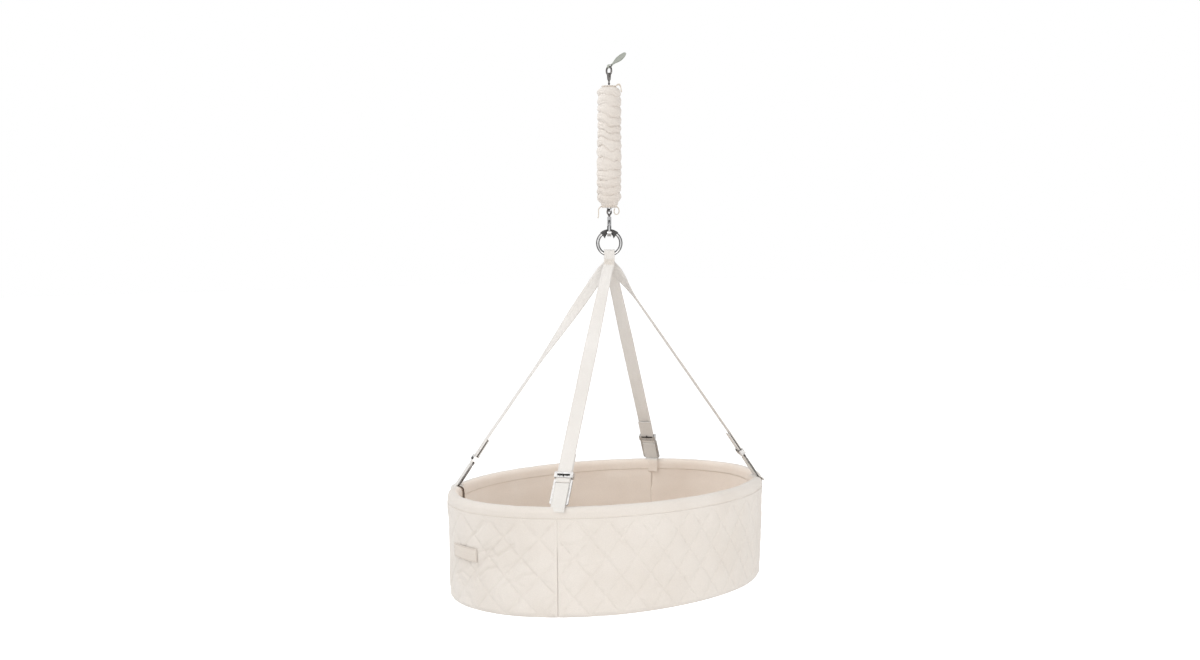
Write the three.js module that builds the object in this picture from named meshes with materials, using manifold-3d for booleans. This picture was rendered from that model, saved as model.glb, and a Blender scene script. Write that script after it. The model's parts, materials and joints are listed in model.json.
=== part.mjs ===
import * as THREE from 'three';
import { mergeVertices } from 'three/addons/utils/BufferGeometryUtils.js';
import Module from 'manifold-3d';

// Hanging baby cradle: an oval quilted basket on four webbing legs, a steel ring, a snap hook
// and a spring in a ruched cover. Millimetres, +Z up, X along the basket's long axis.
// The origin is where the top eye hangs on its support.

// Basket
const basketLength = 780;
const basketWidth = 563;
const wallHeight = 225;
const wallTaper = 6;
const rimDrop = 902;
const seamAngle = 40;

// Layers of the basket wall, from outside to inside
const quiltDepth = 4;
const panelBacking = 3;
const foamThick = 15.2;
const liningThick = 3;

// Rim
const rimRollRadius = 13;
const bindingThick = 2.4;
const bindingDrop = 24;
const rimRodRadius = 4;

// Floor
const baseCoverThick = 3;
const boardThick = 5;
const floorLiningThick = 2.5;
const mattressThick = 45;
const mattressMargin = 4;
const mattressCrown = 9;
const mattressEdgeRound = 10;
const mattressWaist = 2.5;

// Label
const labelWidth = 86;
const labelHeight = 28;
const labelThick = 1;
const labelDrop = 108;
const labelShift = 12;
const labelFold = 6;

// Ring, its sleeve and the webbing
const ringDrop = 380;
const ringRadius = 25.2;
const ringWire = 3.8;
const ringTurn = -41;
const sleeveThick = 1.2;
const sleeveSwell = 3;
const sleeveSpread = 40;
const sleeveWaistShare = 0.35;
const webbingWidth = 30;
const webbingGathered = 23;
const webbingThick = 1.8;
const legCrowdingShare = 1.5;
const frontBackUntwist = 200;
const sideUntwist = 95;
const widenLength = 240;
const legBend = 32;
const sewnLength = 16;

// Hanger hardware at the foot of each leg
const frameLength = 56;
const frameRise = 4;
const frameBar = 5;
const frameRail = 4.4;
const frameThick = 2.4;
const frameCorner = 4;
const sideGap = 0.6;
const sliderLength = 12;
const sliderSkin = 1.8;
const toothLength = 3.4;
const toothWidth = 2;
const toothRise = 1.4;
const sliderLift = 2;
const doubledLength = 60;

// Top eye, swivel and hooks
const eyeHalfWidth = 8;
const eyeHalfHeight = 9;
const eyeWire = 2;
const barrelRadius = 4.7;
const barrelLength = 13;
const pinRadius = 1.9;
const pinHeadRadius = 3.4;
const pinHeadThick = 2.6;
const pinReach = 14;
const loopRadius = 5.5;
const loopWire = 1.9;
const plugLength = 18;
const plugStem = 6;
const lowStem = 14;

// Hang tab through the top eye
const tabThick = 2.4;
const tabNeckWidth = 5.6;
const tabLeafWidth = 17;
const tabReach = 58;
const tabNeckReach = 12;
const tabRise = 34;
const tabLoopSlack = 1.1;

// Spring and its cover
const springWire = 1.8;
const springRadius = 17;
const springCoils = 27;
const coverRadius = 26.5;
const coverWall = 4.5;
const coverGather = 2.4;
const coverGathers = 15;
const coverNeck = 10.5;
const coverTopShoulder = 9;
const coverLowShoulder = 12;
const coverTail = 4;
const tieCord = 1.1;
const tieSpread = 0.4;
const topEndReach = 29;
const topEndDrop = 9;
const lowLoopReach = 20;
const lowLoopDrop = 20;
const lowEndReach = 24;
const lowEndDrop = 19;

// Snap hook
const snapStem = 6;
const snapBarrel = 20;
const snapWide = 9;
const snapBack = 6.2;
const snapFront = 11.6;
const hookWire = 5.2;
const bowlEase = 0.6;
const throatHigh = 12;
const boltRadius = 2.1;
const boltOffset = 8.4;
const boltTravel = 8;
const boltGuide = 7;
const knobRadius = 1.9;
const knobReach = 5;
const boltSpringWire = 0.35;
const boltSpringCoils = 5;

// Clearances and cutting
const seatGap = 0.3;
const runGap = 0.4;
const overrun = 2;

// Counts
const quiltCells = 32;
const quiltRows = 5;
const facets = 2 * quiltCells;
const curlSteps = 8;
const curlSides = 5;
const barSides = 8;
const loopSides = 6;
const loopSteps = 16;
const roundSides = 14;
const coverSides = 16;
const rollSteps = 4;
const cornerSteps = 2;
const bendSteps = 4;
const legSteps = 16;
const foldSteps = 6;
const sleeveSteps = 8;
const labelSteps = 6;
const fineSteps = 1440;
const teeth = 5;

const wasm = await Module();
wasm.setup();

function solidOf(geometry) {
  const bare = geometry.clone();
  bare.deleteAttribute('normal');
  bare.deleteAttribute('uv');
  const merged = mergeVertices(bare);
  const triVerts = new Uint32Array(merged.index.array);
  const vertProperties = new Float32Array(merged.attributes.position.array);
  return new wasm.Manifold(new wasm.Mesh({ numProp: 3, vertProperties, triVerts }));
}

function geometryOf(solid) {
  const mesh = solid.getMesh();
  const geometry = new THREE.BufferGeometry();
  geometry.setAttribute('position', new THREE.BufferAttribute(mesh.vertProperties, 3));
  geometry.setIndex(new THREE.BufferAttribute(mesh.triVerts, 1));
  geometry.computeVertexNormals();
  return geometry;
}

function join(first, ...others) {
  return geometryOf(others.reduce((sum, other) => sum.add(solidOf(other)), solidOf(first)));
}

function cut(first, ...others) {
  return geometryOf(others.reduce((rest, other) => rest.subtract(solidOf(other)), solidOf(first)));
}

function common(first, second) {
  return geometryOf(solidOf(first).intersect(solidOf(second)));
}

const radians = THREE.MathUtils.degToRad;

function point(x, y, z) {
  return new THREE.Vector3(x, y, z);
}

// A closed surface through rings of points, each ring the same closed outline.
// The rings either run end to end or are closed by a flat cap at each end.
// Where the split says so, a four-sided patch is divided along its other diagonal.
function skin(rings, endToEnd, otherWay = () => false) {
  const count = rings[0].length;
  const points = rings.flat();
  const faces = [];
  const spans = endToEnd ? rings.length : rings.length - 1;
  for (let i = 0; i < spans; i++) {
    const near = i * count;
    const far = ((i + 1) % rings.length) * count;
    for (let j = 0; j < count; j++) {
      const next = (j + 1) % count;
      if (otherWay(i, j)) {
        faces.push([near + j, far + j, near + next], [far + j, far + next, near + next]);
      } else {
        faces.push([near + j, far + j, far + next], [near + j, far + next, near + next]);
      }
    }
  }
  if (!endToEnd) {
    faces.push(...cap(rings[0], 0, 1));
    faces.push(...cap(rings[rings.length - 1], (rings.length - 1) * count, -1));
  }
  let volume = 0;
  for (const [a, b, c] of faces) {
    volume += points[a].dot(points[b].clone().cross(points[c]));
  }
  const outward = volume > 0 ? faces : faces.map(([a, b, c]) => [a, c, b]);
  const geometry = new THREE.BufferGeometry();
  geometry.setAttribute('position', new THREE.Float32BufferAttribute(points.flatMap((p) => p.toArray()), 3));
  geometry.setIndex(outward.flat());
  geometry.computeVertexNormals();
  return geometry;
}

// The triangles that close one ring, facing along its own turn (side 1) or against it (side -1).
function cap(ring, offset, side) {
  const normal = point(0, 0, 0);
  ring.forEach((p, i) => normal.add(p.clone().cross(ring[(i + 1) % ring.length])));
  normal.normalize();
  const across = ring[1].clone().sub(ring[0]).normalize();
  const up = normal.clone().cross(across);
  const flat = ring.map((p) => new THREE.Vector2(p.dot(across), p.dot(up)));
  return THREE.ShapeUtils.triangulateShape(flat, []).map(([a, b, c]) => {
    const turn = flat[b].clone().sub(flat[a]).cross(flat[c].clone().sub(flat[a]));
    const ordered = turn * side > 0 ? [a, b, c] : [a, c, b];
    return ordered.map((i) => i + offset);
  });
}

// A flat strip with rectangular section through stations of place, width and facing.
function strip(stations) {
  return skin(stations.map(({ at, across, facing, wide }) => {
    const corners = [[-1, -1], [1, -1], [1, 1], [-1, 1]];
    return corners.map(([w, t]) => at.clone()
      .addScaledVector(across, (w * wide) / 2)
      .addScaledVector(facing, (t * webbingThick) / 2));
  }), false);
}

function extrude(shape, depth, curveSegments) {
  return new THREE.ExtrudeGeometry(shape, { depth, bevelEnabled: false, curveSegments });
}

function outline(points) {
  return new THREE.Shape(points.map(([x, y]) => new THREE.Vector2(x, y)));
}

function roundRectangle(halfWide, low, high, corner) {
  const shape = new THREE.Shape();
  shape.moveTo(-halfWide + corner, low);
  shape.lineTo(halfWide - corner, low);
  shape.absarc(halfWide - corner, low + corner, corner, -Math.PI / 2, 0, false);
  shape.lineTo(halfWide, high - corner);
  shape.absarc(halfWide - corner, high - corner, corner, 0, Math.PI / 2, false);
  shape.lineTo(-halfWide + corner, high);
  shape.absarc(-halfWide + corner, high - corner, corner, Math.PI / 2, Math.PI, false);
  shape.lineTo(-halfWide, low + corner);
  shape.absarc(-halfWide + corner, low + corner, corner, Math.PI, 1.5 * Math.PI, false);
  return shape;
}

// An upright round post from its low end to its high end.
function post(radius, low, high, x = 0, y = 0) {
  const geometry = new THREE.CylinderGeometry(radius, radius, high - low, roundSides);
  geometry.rotateX(Math.PI / 2);
  geometry.translate(x, y, (low + high) / 2);
  return geometry;
}

function block(wide, deep, low, high, x = 0, y = 0) {
  const geometry = new THREE.BoxGeometry(wide, deep, high - low);
  geometry.translate(x, y, (low + high) / 2);
  return geometry;
}

// An upright loop of wire round a centre at the given height, in the plane that holds the
// direction at the given turn.
function loop(halfWide, halfHigh, wire, centre, turn) {
  const path = Array.from({ length: loopSteps }, (_, i) => {
    const angle = (2 * Math.PI * i) / loopSteps;
    const out = halfWide * Math.cos(angle);
    return point(out * Math.cos(turn), out * Math.sin(turn), centre + halfHigh * Math.sin(angle));
  });
  const side = point(-Math.sin(turn), Math.cos(turn), 0);
  const rings = path.map((at, i) => {
    const along = path[(i + 1) % loopSteps].clone().sub(path[(i + loopSteps - 1) % loopSteps]).normalize();
    const out = side.clone().cross(along);
    return Array.from({ length: loopSides }, (_, j) => {
      const angle = (2 * Math.PI * j) / loopSides;
      return at.clone().addScaledVector(side, wire * Math.cos(angle)).addScaledVector(out, wire * Math.sin(angle));
    });
  });
  return skin(rings, true);
}

const halfLength = basketLength / 2;
const halfWidth = basketWidth / 2;
const rimTop = -rimDrop;

// Angles round the oval at equal steps of its outline, counted from the seam.
const runTable = [0];
for (let i = 1; i <= fineSteps; i++) {
  const angle = (2 * Math.PI * (i - 0.5)) / fineSteps;
  const step = Math.hypot(halfLength * Math.sin(angle), halfWidth * Math.cos(angle)) * (2 * Math.PI) / fineSteps;
  runTable.push(runTable[i - 1] + step);
}
const ovalRun = runTable[fineSteps];

function runAt(angle) {
  const count = (angle / (2 * Math.PI)) * fineSteps;
  const whole = Math.floor(count);
  const lap = Math.floor(whole / fineSteps);
  const index = whole - lap * fineSteps;
  return lap * ovalRun + THREE.MathUtils.lerp(runTable[index], runTable[index + 1], count - whole);
}

function angleAt(run) {
  const lap = Math.floor(run / ovalRun);
  const rest = run - lap * ovalRun;
  let index = 1;
  while (index < fineSteps && runTable[index] < rest) index++;
  const part = (rest - runTable[index - 1]) / (runTable[index] - runTable[index - 1]);
  return ((index - 1 + part) / fineSteps + lap) * 2 * Math.PI;
}

const seamRun = runAt(radians(seamAngle));

// A point at an angle round the basket, so far in from its outside and so far below the rim.
function onOval(angle, inward, below) {
  const lean = wallTaper * below / wallHeight;
  const x = (halfLength - inward - lean) * Math.cos(angle);
  const y = (halfWidth - inward - lean) * Math.sin(angle);
  return point(x, y, rimTop - below);
}

// A wall that runs round the basket from one run to another, with its section at each step.
function wall(startRun, length, steps, sectionAt, otherWay) {
  const whole = length >= ovalRun;
  const rings = Array.from({ length: whole ? steps : steps + 1 }, (_, i) => {
    const run = startRun + (length * i) / steps;
    const angle = angleAt(run);
    return sectionAt(run).map(([inward, below]) => onOval(angle, inward, below));
  });
  return skin(rings, whole, otherWay);
}

function ovalPlate(inward, below, thick) {
  const points = Array.from({ length: facets }, (_, i) => {
    const p = onOval(angleAt(seamRun + (ovalRun * i) / facets), inward, below);
    return [p.x, p.y];
  });
  const plate = extrude(outline(points), thick, 1);
  plate.translate(0, 0, rimTop - below);
  return plate;
}

const cream = { color: 0xe6e0d8, roughness: 0.95, metalness: 0 };
const creamLining = { color: 0xdccfbe, roughness: 0.95, metalness: 0 };
const paleWebbing = { color: 0xefece6, roughness: 0.85, metalness: 0 };
const whiteFoam = { color: 0xf3f1ea, roughness: 1, metalness: 0 };
const gunmetal = { color: 0x55575b, roughness: 0.35, metalness: 1 };
const polishedSteel = { color: 0xc6c7ca, roughness: 0.18, metalness: 1 };
const springSteel = { color: 0x8c8d8f, roughness: 0.4, metalness: 1 };
const darkRubber = { color: 0x3a3b3d, roughness: 0.8, metalness: 0 };
const greyTape = { color: 0xb4b9ae, roughness: 0.9, metalness: 0 };
const plywood = { color: 0xcaa77a, roughness: 0.7, metalness: 0 };

const cradle = new THREE.Group();

function place(name, geometry, finish, group = cradle) {
  const mesh = new THREE.Mesh(geometry, new THREE.MeshStandardMaterial(finish));
  mesh.name = name;
  group.add(mesh);
  return mesh;
}

// Basket wall
const panelTop = bindingDrop + seatGap;
const baseTop = wallHeight - baseCoverThick;
const panelDepth = quiltDepth + panelBacking;
const foamOut = panelDepth + seatGap;
const foamIn = foamOut + foamThick;
const liningOut = foamIn + seatGap;
const liningIn = liningOut + liningThick;
const boardTop = baseTop - seatGap - boardThick;
const panelBottom = baseTop - seatGap;
const rollCentre = rimRollRadius + (panelDepth - bindingThick) / 4;
const rodBelow = bindingThick + seatGap + rimRodRadius;
const foamTop = rodBelow + rimRodRadius + seatGap;
const quiltWidth = ovalRun / quiltCells;
const rowHeight = (panelBottom - panelTop) / quiltRows;
const quiltHeight = 2 * rowHeight;
const quiltFullnessShare = 0.6;

// How far the quilted face lies in from its crests at a place on the wall.
// The two panels are cut from their cloth half a diamond apart, so their stitches don't meet.
function quiltSink(run, below, shiftShare) {
  const across = (run - seamRun) / quiltWidth;
  const down = (below - panelTop) / quiltHeight + shiftShare;
  const puff = Math.abs(Math.sin(Math.PI * (across + down)) * Math.sin(Math.PI * (across - down)));
  return quiltDepth * (1 - puff ** quiltFullnessShare);
}

function outerSection(run, shiftShare) {
  const face = Array.from({ length: quiltRows + 1 }, (_, i) => {
    const below = panelTop + i * rowHeight;
    return [quiltSink(run, below, shiftShare), below];
  });
  return [...face, [panelDepth, panelBottom], [panelDepth, panelTop]];
}

const halfRun = ovalRun / 2;
function outerPanel(startRun, shiftShare) {
  const odd = shiftShare ? 0 : 1;
  const alongStitch = (i, j) => (i + j) % 2 === odd;
  const section = (run) => outerSection(run, shiftShare);
  return wall(startRun + seatGap, halfRun - 2 * seatGap, quiltCells, section, alongStitch);
}
const halfDiamondShare = 0.5;
place('outer_panel_label_end', outerPanel(seamRun, 0), cream);
place('outer_panel_plain_end', outerPanel(seamRun + halfRun, halfDiamondShare), cream);

function plainSection(outside, inside, top, bottom) {
  return () => [[outside, top], [outside, bottom], [inside, bottom], [inside, top]];
}

const foamSection = plainSection(foamOut, foamIn, foamTop, boardTop - seatGap);
place('wall_foam', wall(seamRun, ovalRun, facets, foamSection), whiteFoam);
const liningSection = plainSection(liningOut, liningIn, panelTop, boardTop - seatGap);
function liningPanel(startRun) {
  return wall(startRun + seatGap, halfRun - 2 * seatGap, facets / 2, liningSection);
}
place('lining_label_end', liningPanel(seamRun), creamLining);
place('lining_plain_end', liningPanel(seamRun + halfRun), creamLining);

// Rim: a rod hoop lies on the foam inside a folded binding.
const rollInner = rimRollRadius - bindingThick;
function bindingSection() {
  const arc = (radius, from, to) => Array.from({ length: rollSteps + 1 }, (_, i) => {
    const angle = THREE.MathUtils.lerp(from, to, i / rollSteps);
    return [rollCentre - radius * Math.cos(angle), rimRollRadius - radius * Math.sin(angle)];
  });
  return [
    [rollCentre - rimRollRadius, bindingDrop],
    ...arc(rimRollRadius, 0, Math.PI),
    [rollCentre + rimRollRadius, bindingDrop],
    [rollCentre + rollInner, bindingDrop],
    ...arc(rollInner, Math.PI, 0),
    [rollCentre - rollInner, bindingDrop],
  ];
}
place('rim_binding', wall(seamRun, ovalRun, facets, bindingSection), cream);

function rodSection() {
  return Array.from({ length: loopSides }, (_, i) => {
    const angle = (2 * Math.PI * i) / loopSides;
    return [rollCentre + rimRodRadius * Math.cos(angle), rodBelow + rimRodRadius * Math.sin(angle)];
  });
}
place('rim_rod', wall(seamRun, ovalRun, facets, rodSection), springSteel);

// Floor
const baseInward = quiltDepth;
place('base_cover', ovalPlate(baseInward, wallHeight, baseCoverThick), cream);
place('base_board', ovalPlate(foamOut, baseTop - seatGap, boardThick), plywood);
const liningLean = wallTaper * (1 - boardTop / wallHeight);
const floorInward = liningIn + seatGap + liningLean;
const floorTop = boardTop - seatGap - floorLiningThick;
place('floor_lining', ovalPlate(floorInward, boardTop - seatGap, floorLiningThick), creamLining);

// Mattress: drawn in at its waist seam and crowned on top.
const mattressBottom = floorTop - seatGap;
const mattressTop = mattressBottom - mattressThick;
const mattressOut = liningIn + mattressMargin;
const crownShares = [
  { across: 0.78, up: 0.5 },
  { across: 0.5, up: 0.82 },
  { across: 0.2, up: 0.97 },
];
function mattressRing(inward, below, share = 1) {
  return Array.from({ length: facets }, (_, i) => {
    const p = onOval(angleAt(seamRun + (ovalRun * i) / facets), inward, below);
    return point(p.x * share, p.y * share, p.z);
  });
}
const mattressMiddle = (mattressBottom + mattressTop) / 2;
const shoulderBelow = mattressTop + mattressCrown;
place('mattress', skin([
  mattressRing(mattressOut + mattressEdgeRound, mattressBottom),
  mattressRing(mattressOut, mattressBottom - mattressEdgeRound),
  mattressRing(mattressOut + mattressWaist, mattressMiddle),
  mattressRing(mattressOut, shoulderBelow + mattressEdgeRound),
  mattressRing(mattressOut + mattressEdgeRound, shoulderBelow),
  ...crownShares.map(({ across, up }) => mattressRing(
    mattressOut,
    shoulderBelow - mattressCrown * up,
    across,
  )),
], false), whiteFoam);

// Label: a bare patch on the near end, its short edges folded under.
const labelTop = labelDrop - labelHeight / 2;
function labelSection() {
  const front = -seatGap - labelThick;
  return [[front, labelTop], [front, labelTop + labelHeight], [-seatGap, labelTop + labelHeight], [-seatGap, labelTop]];
}
function hemSection() {
  return labelSection().map(([inward, below]) => [inward - labelThick / 2, below]);
}
const labelStart = halfRun - labelShift - labelWidth / 2;
place('label_patch', join(
  wall(labelStart, labelWidth, labelSteps, labelSection),
  wall(labelStart, labelFold, 1, hemSection),
  wall(labelStart + labelWidth - labelFold, labelFold, 1, hemSection),
), cream);

// Ring with a sleeve over its top, where the hook bears
const ringAngle = radians(ringTurn);
const ringGroup = new THREE.Group();
ringGroup.rotation.z = ringAngle;
ringGroup.position.z = -ringDrop;
cradle.add(ringGroup);
const ringTube = new THREE.TorusGeometry(ringRadius, ringWire, barSides, 2 * loopSteps);
ringTube.rotateX(Math.PI / 2);
place('ring', ringTube, polishedSteel, ringGroup);

const sleeveRings = [];
for (let pass = 0; pass < 2; pass++) {
  for (let i = 0; i <= sleeveSteps; i++) {
    const share = pass === 0 ? i / sleeveSteps : 1 - i / sleeveSteps;
    const lean = radians(THREE.MathUtils.lerp(-sleeveSpread, sleeveSpread, share));
    const beyondWaist = Math.max(0, Math.abs(2 * share - 1) - sleeveWaistShare) / (1 - sleeveWaistShare);
    const swell = sleeveSwell * beyondWaist;
    sleeveRings.push(Array.from({ length: barSides }, (_, j) => {
      const angle = (2 * Math.PI * j) / barSides;
      const bore = ringWire + seatGap;
      const inner = Math.max(0, -Math.cos(angle)) * swell;
      const radius = pass === 0 ? bore + sleeveThick + inner : bore;
      const reach = ringRadius + radius * Math.cos(angle);
      return point(reach * Math.sin(lean), radius * Math.sin(angle), reach * Math.cos(lean));
    }));
  }
}
place('ring_sleeve', skin(sleeveRings, true), darkRubber, ringGroup);

// Webbing legs
const ringAcross = point(Math.cos(ringAngle), Math.sin(ringAngle), 0);
const ringBehind = point(-Math.sin(ringAngle), Math.cos(ringAngle), 0);
// The gathered webbing bridges the ring's curve, so its fold lies this much above the wire.
const ringInside = ringRadius - ringWire;
const foldRise = ringInside - Math.sqrt(ringInside ** 2 - (webbingGathered / 2) ** 2);
const wireHeight = -ringDrop - ringRadius + foldRise;
const cornerAngle = radians(seamAngle);
const cornerX = (halfLength - rollCentre) * Math.cos(cornerAngle);
const cornerY = (halfWidth - rollCentre) * Math.sin(cornerAngle);
const barCentre = frameRise + frameLength - frameBar / 2;
const wrapGap = frameThick / 2 + seatGap + webbingThick / 2;

// The place and directions of one corner: up the leg, across it and square to it.
function corner(signX, signY) {
  const foot = point(signX * cornerX, signY * cornerY, rimTop);
  const up = point(0, 0, wireHeight).sub(foot).normalize();
  const across = point(-foot.y, foot.x, 0).normalize();
  const facing = up.clone().cross(across);
  if (facing.z < 0) facing.negate();
  return { foot, up, across, facing };
}

// Stations of one leg, from its fold over the ring down, round the frame bar and back up.
// The legs hang sewn together for a short way under the ring before they part.
function leg(site, start, firstAcross, untwist) {
  const { foot, up, across, facing } = site;
  const at = (along, out) => foot.clone().addScaledVector(up, along).addScaledVector(facing, out);
  const low = at(barCentre + doubledLength, wrapGap);
  const turn = Math.atan2(across.y, across.x) - Math.atan2(firstAcross.y, firstAcross.x);
  const half = Math.round(turn / Math.PI) * Math.PI;
  const stations = [];
  const parting = start.clone().setZ(start.z - sewnLength);
  const length = start.distanceTo(low);
  for (let i = 1; i <= legSteps; i++) {
    const share = (i / legSteps) ** legCrowdingShare;
    const height = THREE.MathUtils.lerp(start.z, low.z, share);
    const beyond = Math.max(0, (parting.z - height) / (parting.z - low.z));
    const run = Math.max(0, length * share - sewnLength);
    const straight = parting.clone().lerp(low, beyond).setZ(height);
    const upright = start.clone().setZ(height);
    const ease = THREE.MathUtils.smoothstep(run, 0, legBend);
    const centre = upright.lerp(straight, Math.max(ease, share));
    const angle = Math.atan2(firstAcross.y, firstAcross.x)
      + (turn - half) * THREE.MathUtils.smoothstep(run, 0, untwist);
    const side = point(Math.cos(angle), Math.sin(angle), 0);
    const before = stations.length ? stations[stations.length - 1].at : start;
    const along = centre.clone().sub(before).normalize();
    const square = side.clone().addScaledVector(along, -side.dot(along)).normalize();
    stations.push({
      at: centre,
      across: square,
      facing: along.clone().cross(square),
      wide: THREE.MathUtils.lerp(webbingGathered, webbingWidth, THREE.MathUtils.smoothstep(run, 0, widenLength)),
    });
  }
  const last = stations[stations.length - 1];
  const flip = last.across.dot(across) < 0 ? -1 : 1;
  const side = across.clone().multiplyScalar(flip);
  const bendLow = barCentre - frameBar / 2 + seatGap;
  for (let i = 0; i <= bendSteps; i++) {
    const angle = (Math.PI * i) / bendSteps;
    const out = point(0, 0, 0).addScaledVector(facing, Math.cos(angle)).addScaledVector(up, -Math.sin(angle));
    const centre = at(bendLow, 0).addScaledVector(out, wrapGap);
    stations.push({ at: centre, across: side, facing: out.clone().multiplyScalar(flip), wide: webbingWidth });
  }
  const back = facing.clone().multiplyScalar(-flip);
  stations.push({ at: at(barCentre + doubledLength, -wrapGap), across: side, facing: back, wide: webbingWidth });
  return stations;
}

// One length of webbing: down one leg and down the opposite one, folded over the ring's wire.
function webbing(siteA, siteB, layer, untwist) {
  const radius = ringWire + seatGap + webbingThick / 2 + layer * (webbingThick + runGap);
  const startA = point(0, 0, wireHeight).addScaledVector(ringBehind, -radius);
  const startB = point(0, 0, wireHeight).addScaledVector(ringBehind, radius);
  const first = leg(siteA, startA, ringAcross, untwist);
  const second = leg(siteB, startB, ringAcross.clone().negate(), untwist);
  const fold = Array.from({ length: foldSteps + 1 }, (_, i) => {
    const angle = (Math.PI * i) / foldSteps;
    const out = ringBehind.clone().multiplyScalar(-Math.cos(angle)).add(point(0, 0, Math.sin(angle)));
    const at = point(0, 0, wireHeight).addScaledVector(out, radius);
    return { at, across: ringAcross, facing: out, wide: webbingGathered };
  });
  const orient = (station, wanted) => {
    const flip = station.facing.dot(wanted) < 0 ? -1 : 1;
    return { ...station, facing: station.facing.clone().multiplyScalar(flip) };
  };
  const chain = [...first.reverse(), ...fold, ...second];
  const middle = first.length + foldSteps / 2;
  const keep = (from, step) => {
    for (let i = from; i >= 0 && i < chain.length; i += step) {
      const before = chain[i - step];
      if (chain[i].across.dot(before.across) < 0) chain[i] = { ...chain[i], across: chain[i].across.clone().negate() };
      const along = chain[i].at.clone().sub(before.at).normalize();
      const wanted = before.facing.clone().addScaledVector(along, -before.facing.dot(along));
      chain[i] = orient(chain[i], wanted);
    }
  };
  keep(middle + 1, 1);
  keep(middle - 1, -1);
  return strip(chain);
}

const sites = {
  front: corner(-1, -1),
  back: corner(1, 1),
  left: corner(-1, 1),
  right: corner(1, -1),
};
place('webbing_left_right', webbing(sites.left, sites.right, 0, sideUntwist), paleWebbing);
place('webbing_front_back', webbing(sites.front, sites.back, 1, frontBackUntwist), paleWebbing);

// Hanger hardware, built flat in a leg's own directions: X across, Y up the leg, Z its face
const slotHalf = webbingWidth / 2 + sideGap;
const frameHalf = slotHalf + frameRail;

// The leg's webbing wraps the frame's top bar and the rim's tab wraps its middle bar.
const wrapOut = wrapGap + webbingThick / 2;
const legWrapLow = barCentre - frameBar / 2 + seatGap - wrapOut;
const tabBendAt = legWrapLow - runGap - wrapOut;
const middleBarTop = tabBendAt + seatGap;

function hangerFrame() {
  const shape = roundRectangle(frameHalf, frameRise, frameRise + frameLength, frameCorner);
  const windows = [
    [frameRise + frameBar, middleBarTop - frameBar],
    [middleBarTop, frameRise + frameLength - frameBar],
  ];
  for (const [low, high] of windows) {
    shape.holes.push(roundRectangle(slotHalf, low, high, frameCorner / 4));
  }
  const geometry = extrude(shape, frameThick, cornerSteps);
  geometry.translate(0, 0, -frameThick / 2);
  return geometry;
}

const sliderLow = frameRise + frameLength + sliderLift;
function slider() {
  const layerHalf = webbingThick / 2 + runGap;
  const coreHalf = wrapGap - layerHalf;
  const outHalf = wrapGap + layerHalf + sliderSkin;
  const shell = block(2 * frameHalf, 2 * outHalf, 0, sliderLength);
  const slots = [-1, 1].map((side) => block(
    2 * slotHalf,
    2 * layerHalf,
    -overrun,
    sliderLength + overrun,
    0,
    side * (coreHalf + layerHalf),
  ));
  const comb = Array.from({ length: teeth }, (_, i) => {
    const x = THREE.MathUtils.lerp(-slotHalf, slotHalf, (i + 1) / (teeth + 1));
    return block(toothWidth, 2 * toothRise, toothLength / 4, toothLength, x, outHalf);
  });
  const geometry = join(cut(shell, ...slots), ...comb);
  geometry.rotateX(-Math.PI / 2);
  geometry.translate(0, sliderLow, 0);
  return geometry;
}

// The rim's tab: webbing folded over the frame's middle bar. Its two layers run down either
// side of the frame to the rim, where they are sewn.
function rimTab(site) {
  const outer = wrapOut;
  const inner = wrapGap - webbingThick / 2;
  const bendAt = tabBendAt;
  const reach = rimRollRadius;
  const shape = new THREE.Shape();
  shape.moveTo(-outer, -reach);
  shape.lineTo(-inner, -reach);
  shape.lineTo(-inner, bendAt);
  shape.absarc(0, bendAt, inner, Math.PI, 0, true);
  shape.lineTo(inner, -reach);
  shape.lineTo(outer, -reach);
  shape.lineTo(outer, bendAt);
  shape.absarc(0, bendAt, outer, 0, Math.PI, false);
  const geometry = extrude(shape, webbingWidth, 2 * cornerSteps);
  geometry.translate(0, 0, -webbingWidth / 2);
  geometry.rotateY(Math.PI / 2);
  geometry.applyMatrix4(basisOf(site));
  const clearBelow = block(basketLength, basketLength, rimTop - wallHeight, rimTop + seatGap);
  return cut(geometry, clearBelow);
}

function basisOf({ foot, up, across, facing }) {
  const square = up.clone().cross(facing);
  return new THREE.Matrix4().makeBasis(square, up, facing).setPosition(foot);
}

for (const [side, site] of Object.entries(sites)) {
  const frameSolid = hangerFrame().applyMatrix4(basisOf(site));
  place(`frame_${side}`, frameSolid, gunmetal);
  place(`slider_${side}`, slider().applyMatrix4(basisOf(site)), gunmetal);
  place(`rim_tab_${side}`, rimTab(site), paleWebbing);
}

// Top eye: a closed wire eye on a barrel, its plane across the basket
const eyeCentre = -(eyeHalfHeight - eyeWire);
const barrelTop = eyeCentre - eyeHalfHeight + eyeWire;
const barrelBottom = barrelTop - barrelLength;
const acrossBasket = Math.PI / 2;
const boreRadius = pinRadius + seatGap;
place('hang_eye', cut(
  join(
    loop(eyeHalfWidth, eyeHalfHeight, eyeWire, eyeCentre, acrossBasket),
    post(barrelRadius, barrelBottom, barrelTop),
  ),
  post(boreRadius, barrelBottom - overrun, barrelTop + overrun),
  post(pinHeadRadius + seatGap, barrelTop - seatGap, barrelTop + overrun),
), gunmetal);

// Swivel pin: a rivet head on the barrel, a shank through it and a loop below
const pinBottom = barrelBottom - pinReach;
const pinLoopCentre = pinBottom - loopRadius + loopWire;
place('swivel_pin', join(
  post(pinHeadRadius, barrelTop, barrelTop + pinHeadThick),
  post(pinRadius, pinBottom, barrelTop + pinHeadThick / 2),
  loop(loopRadius, loopRadius, loopWire, pinLoopCentre, 0),
), gunmetal);

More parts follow.
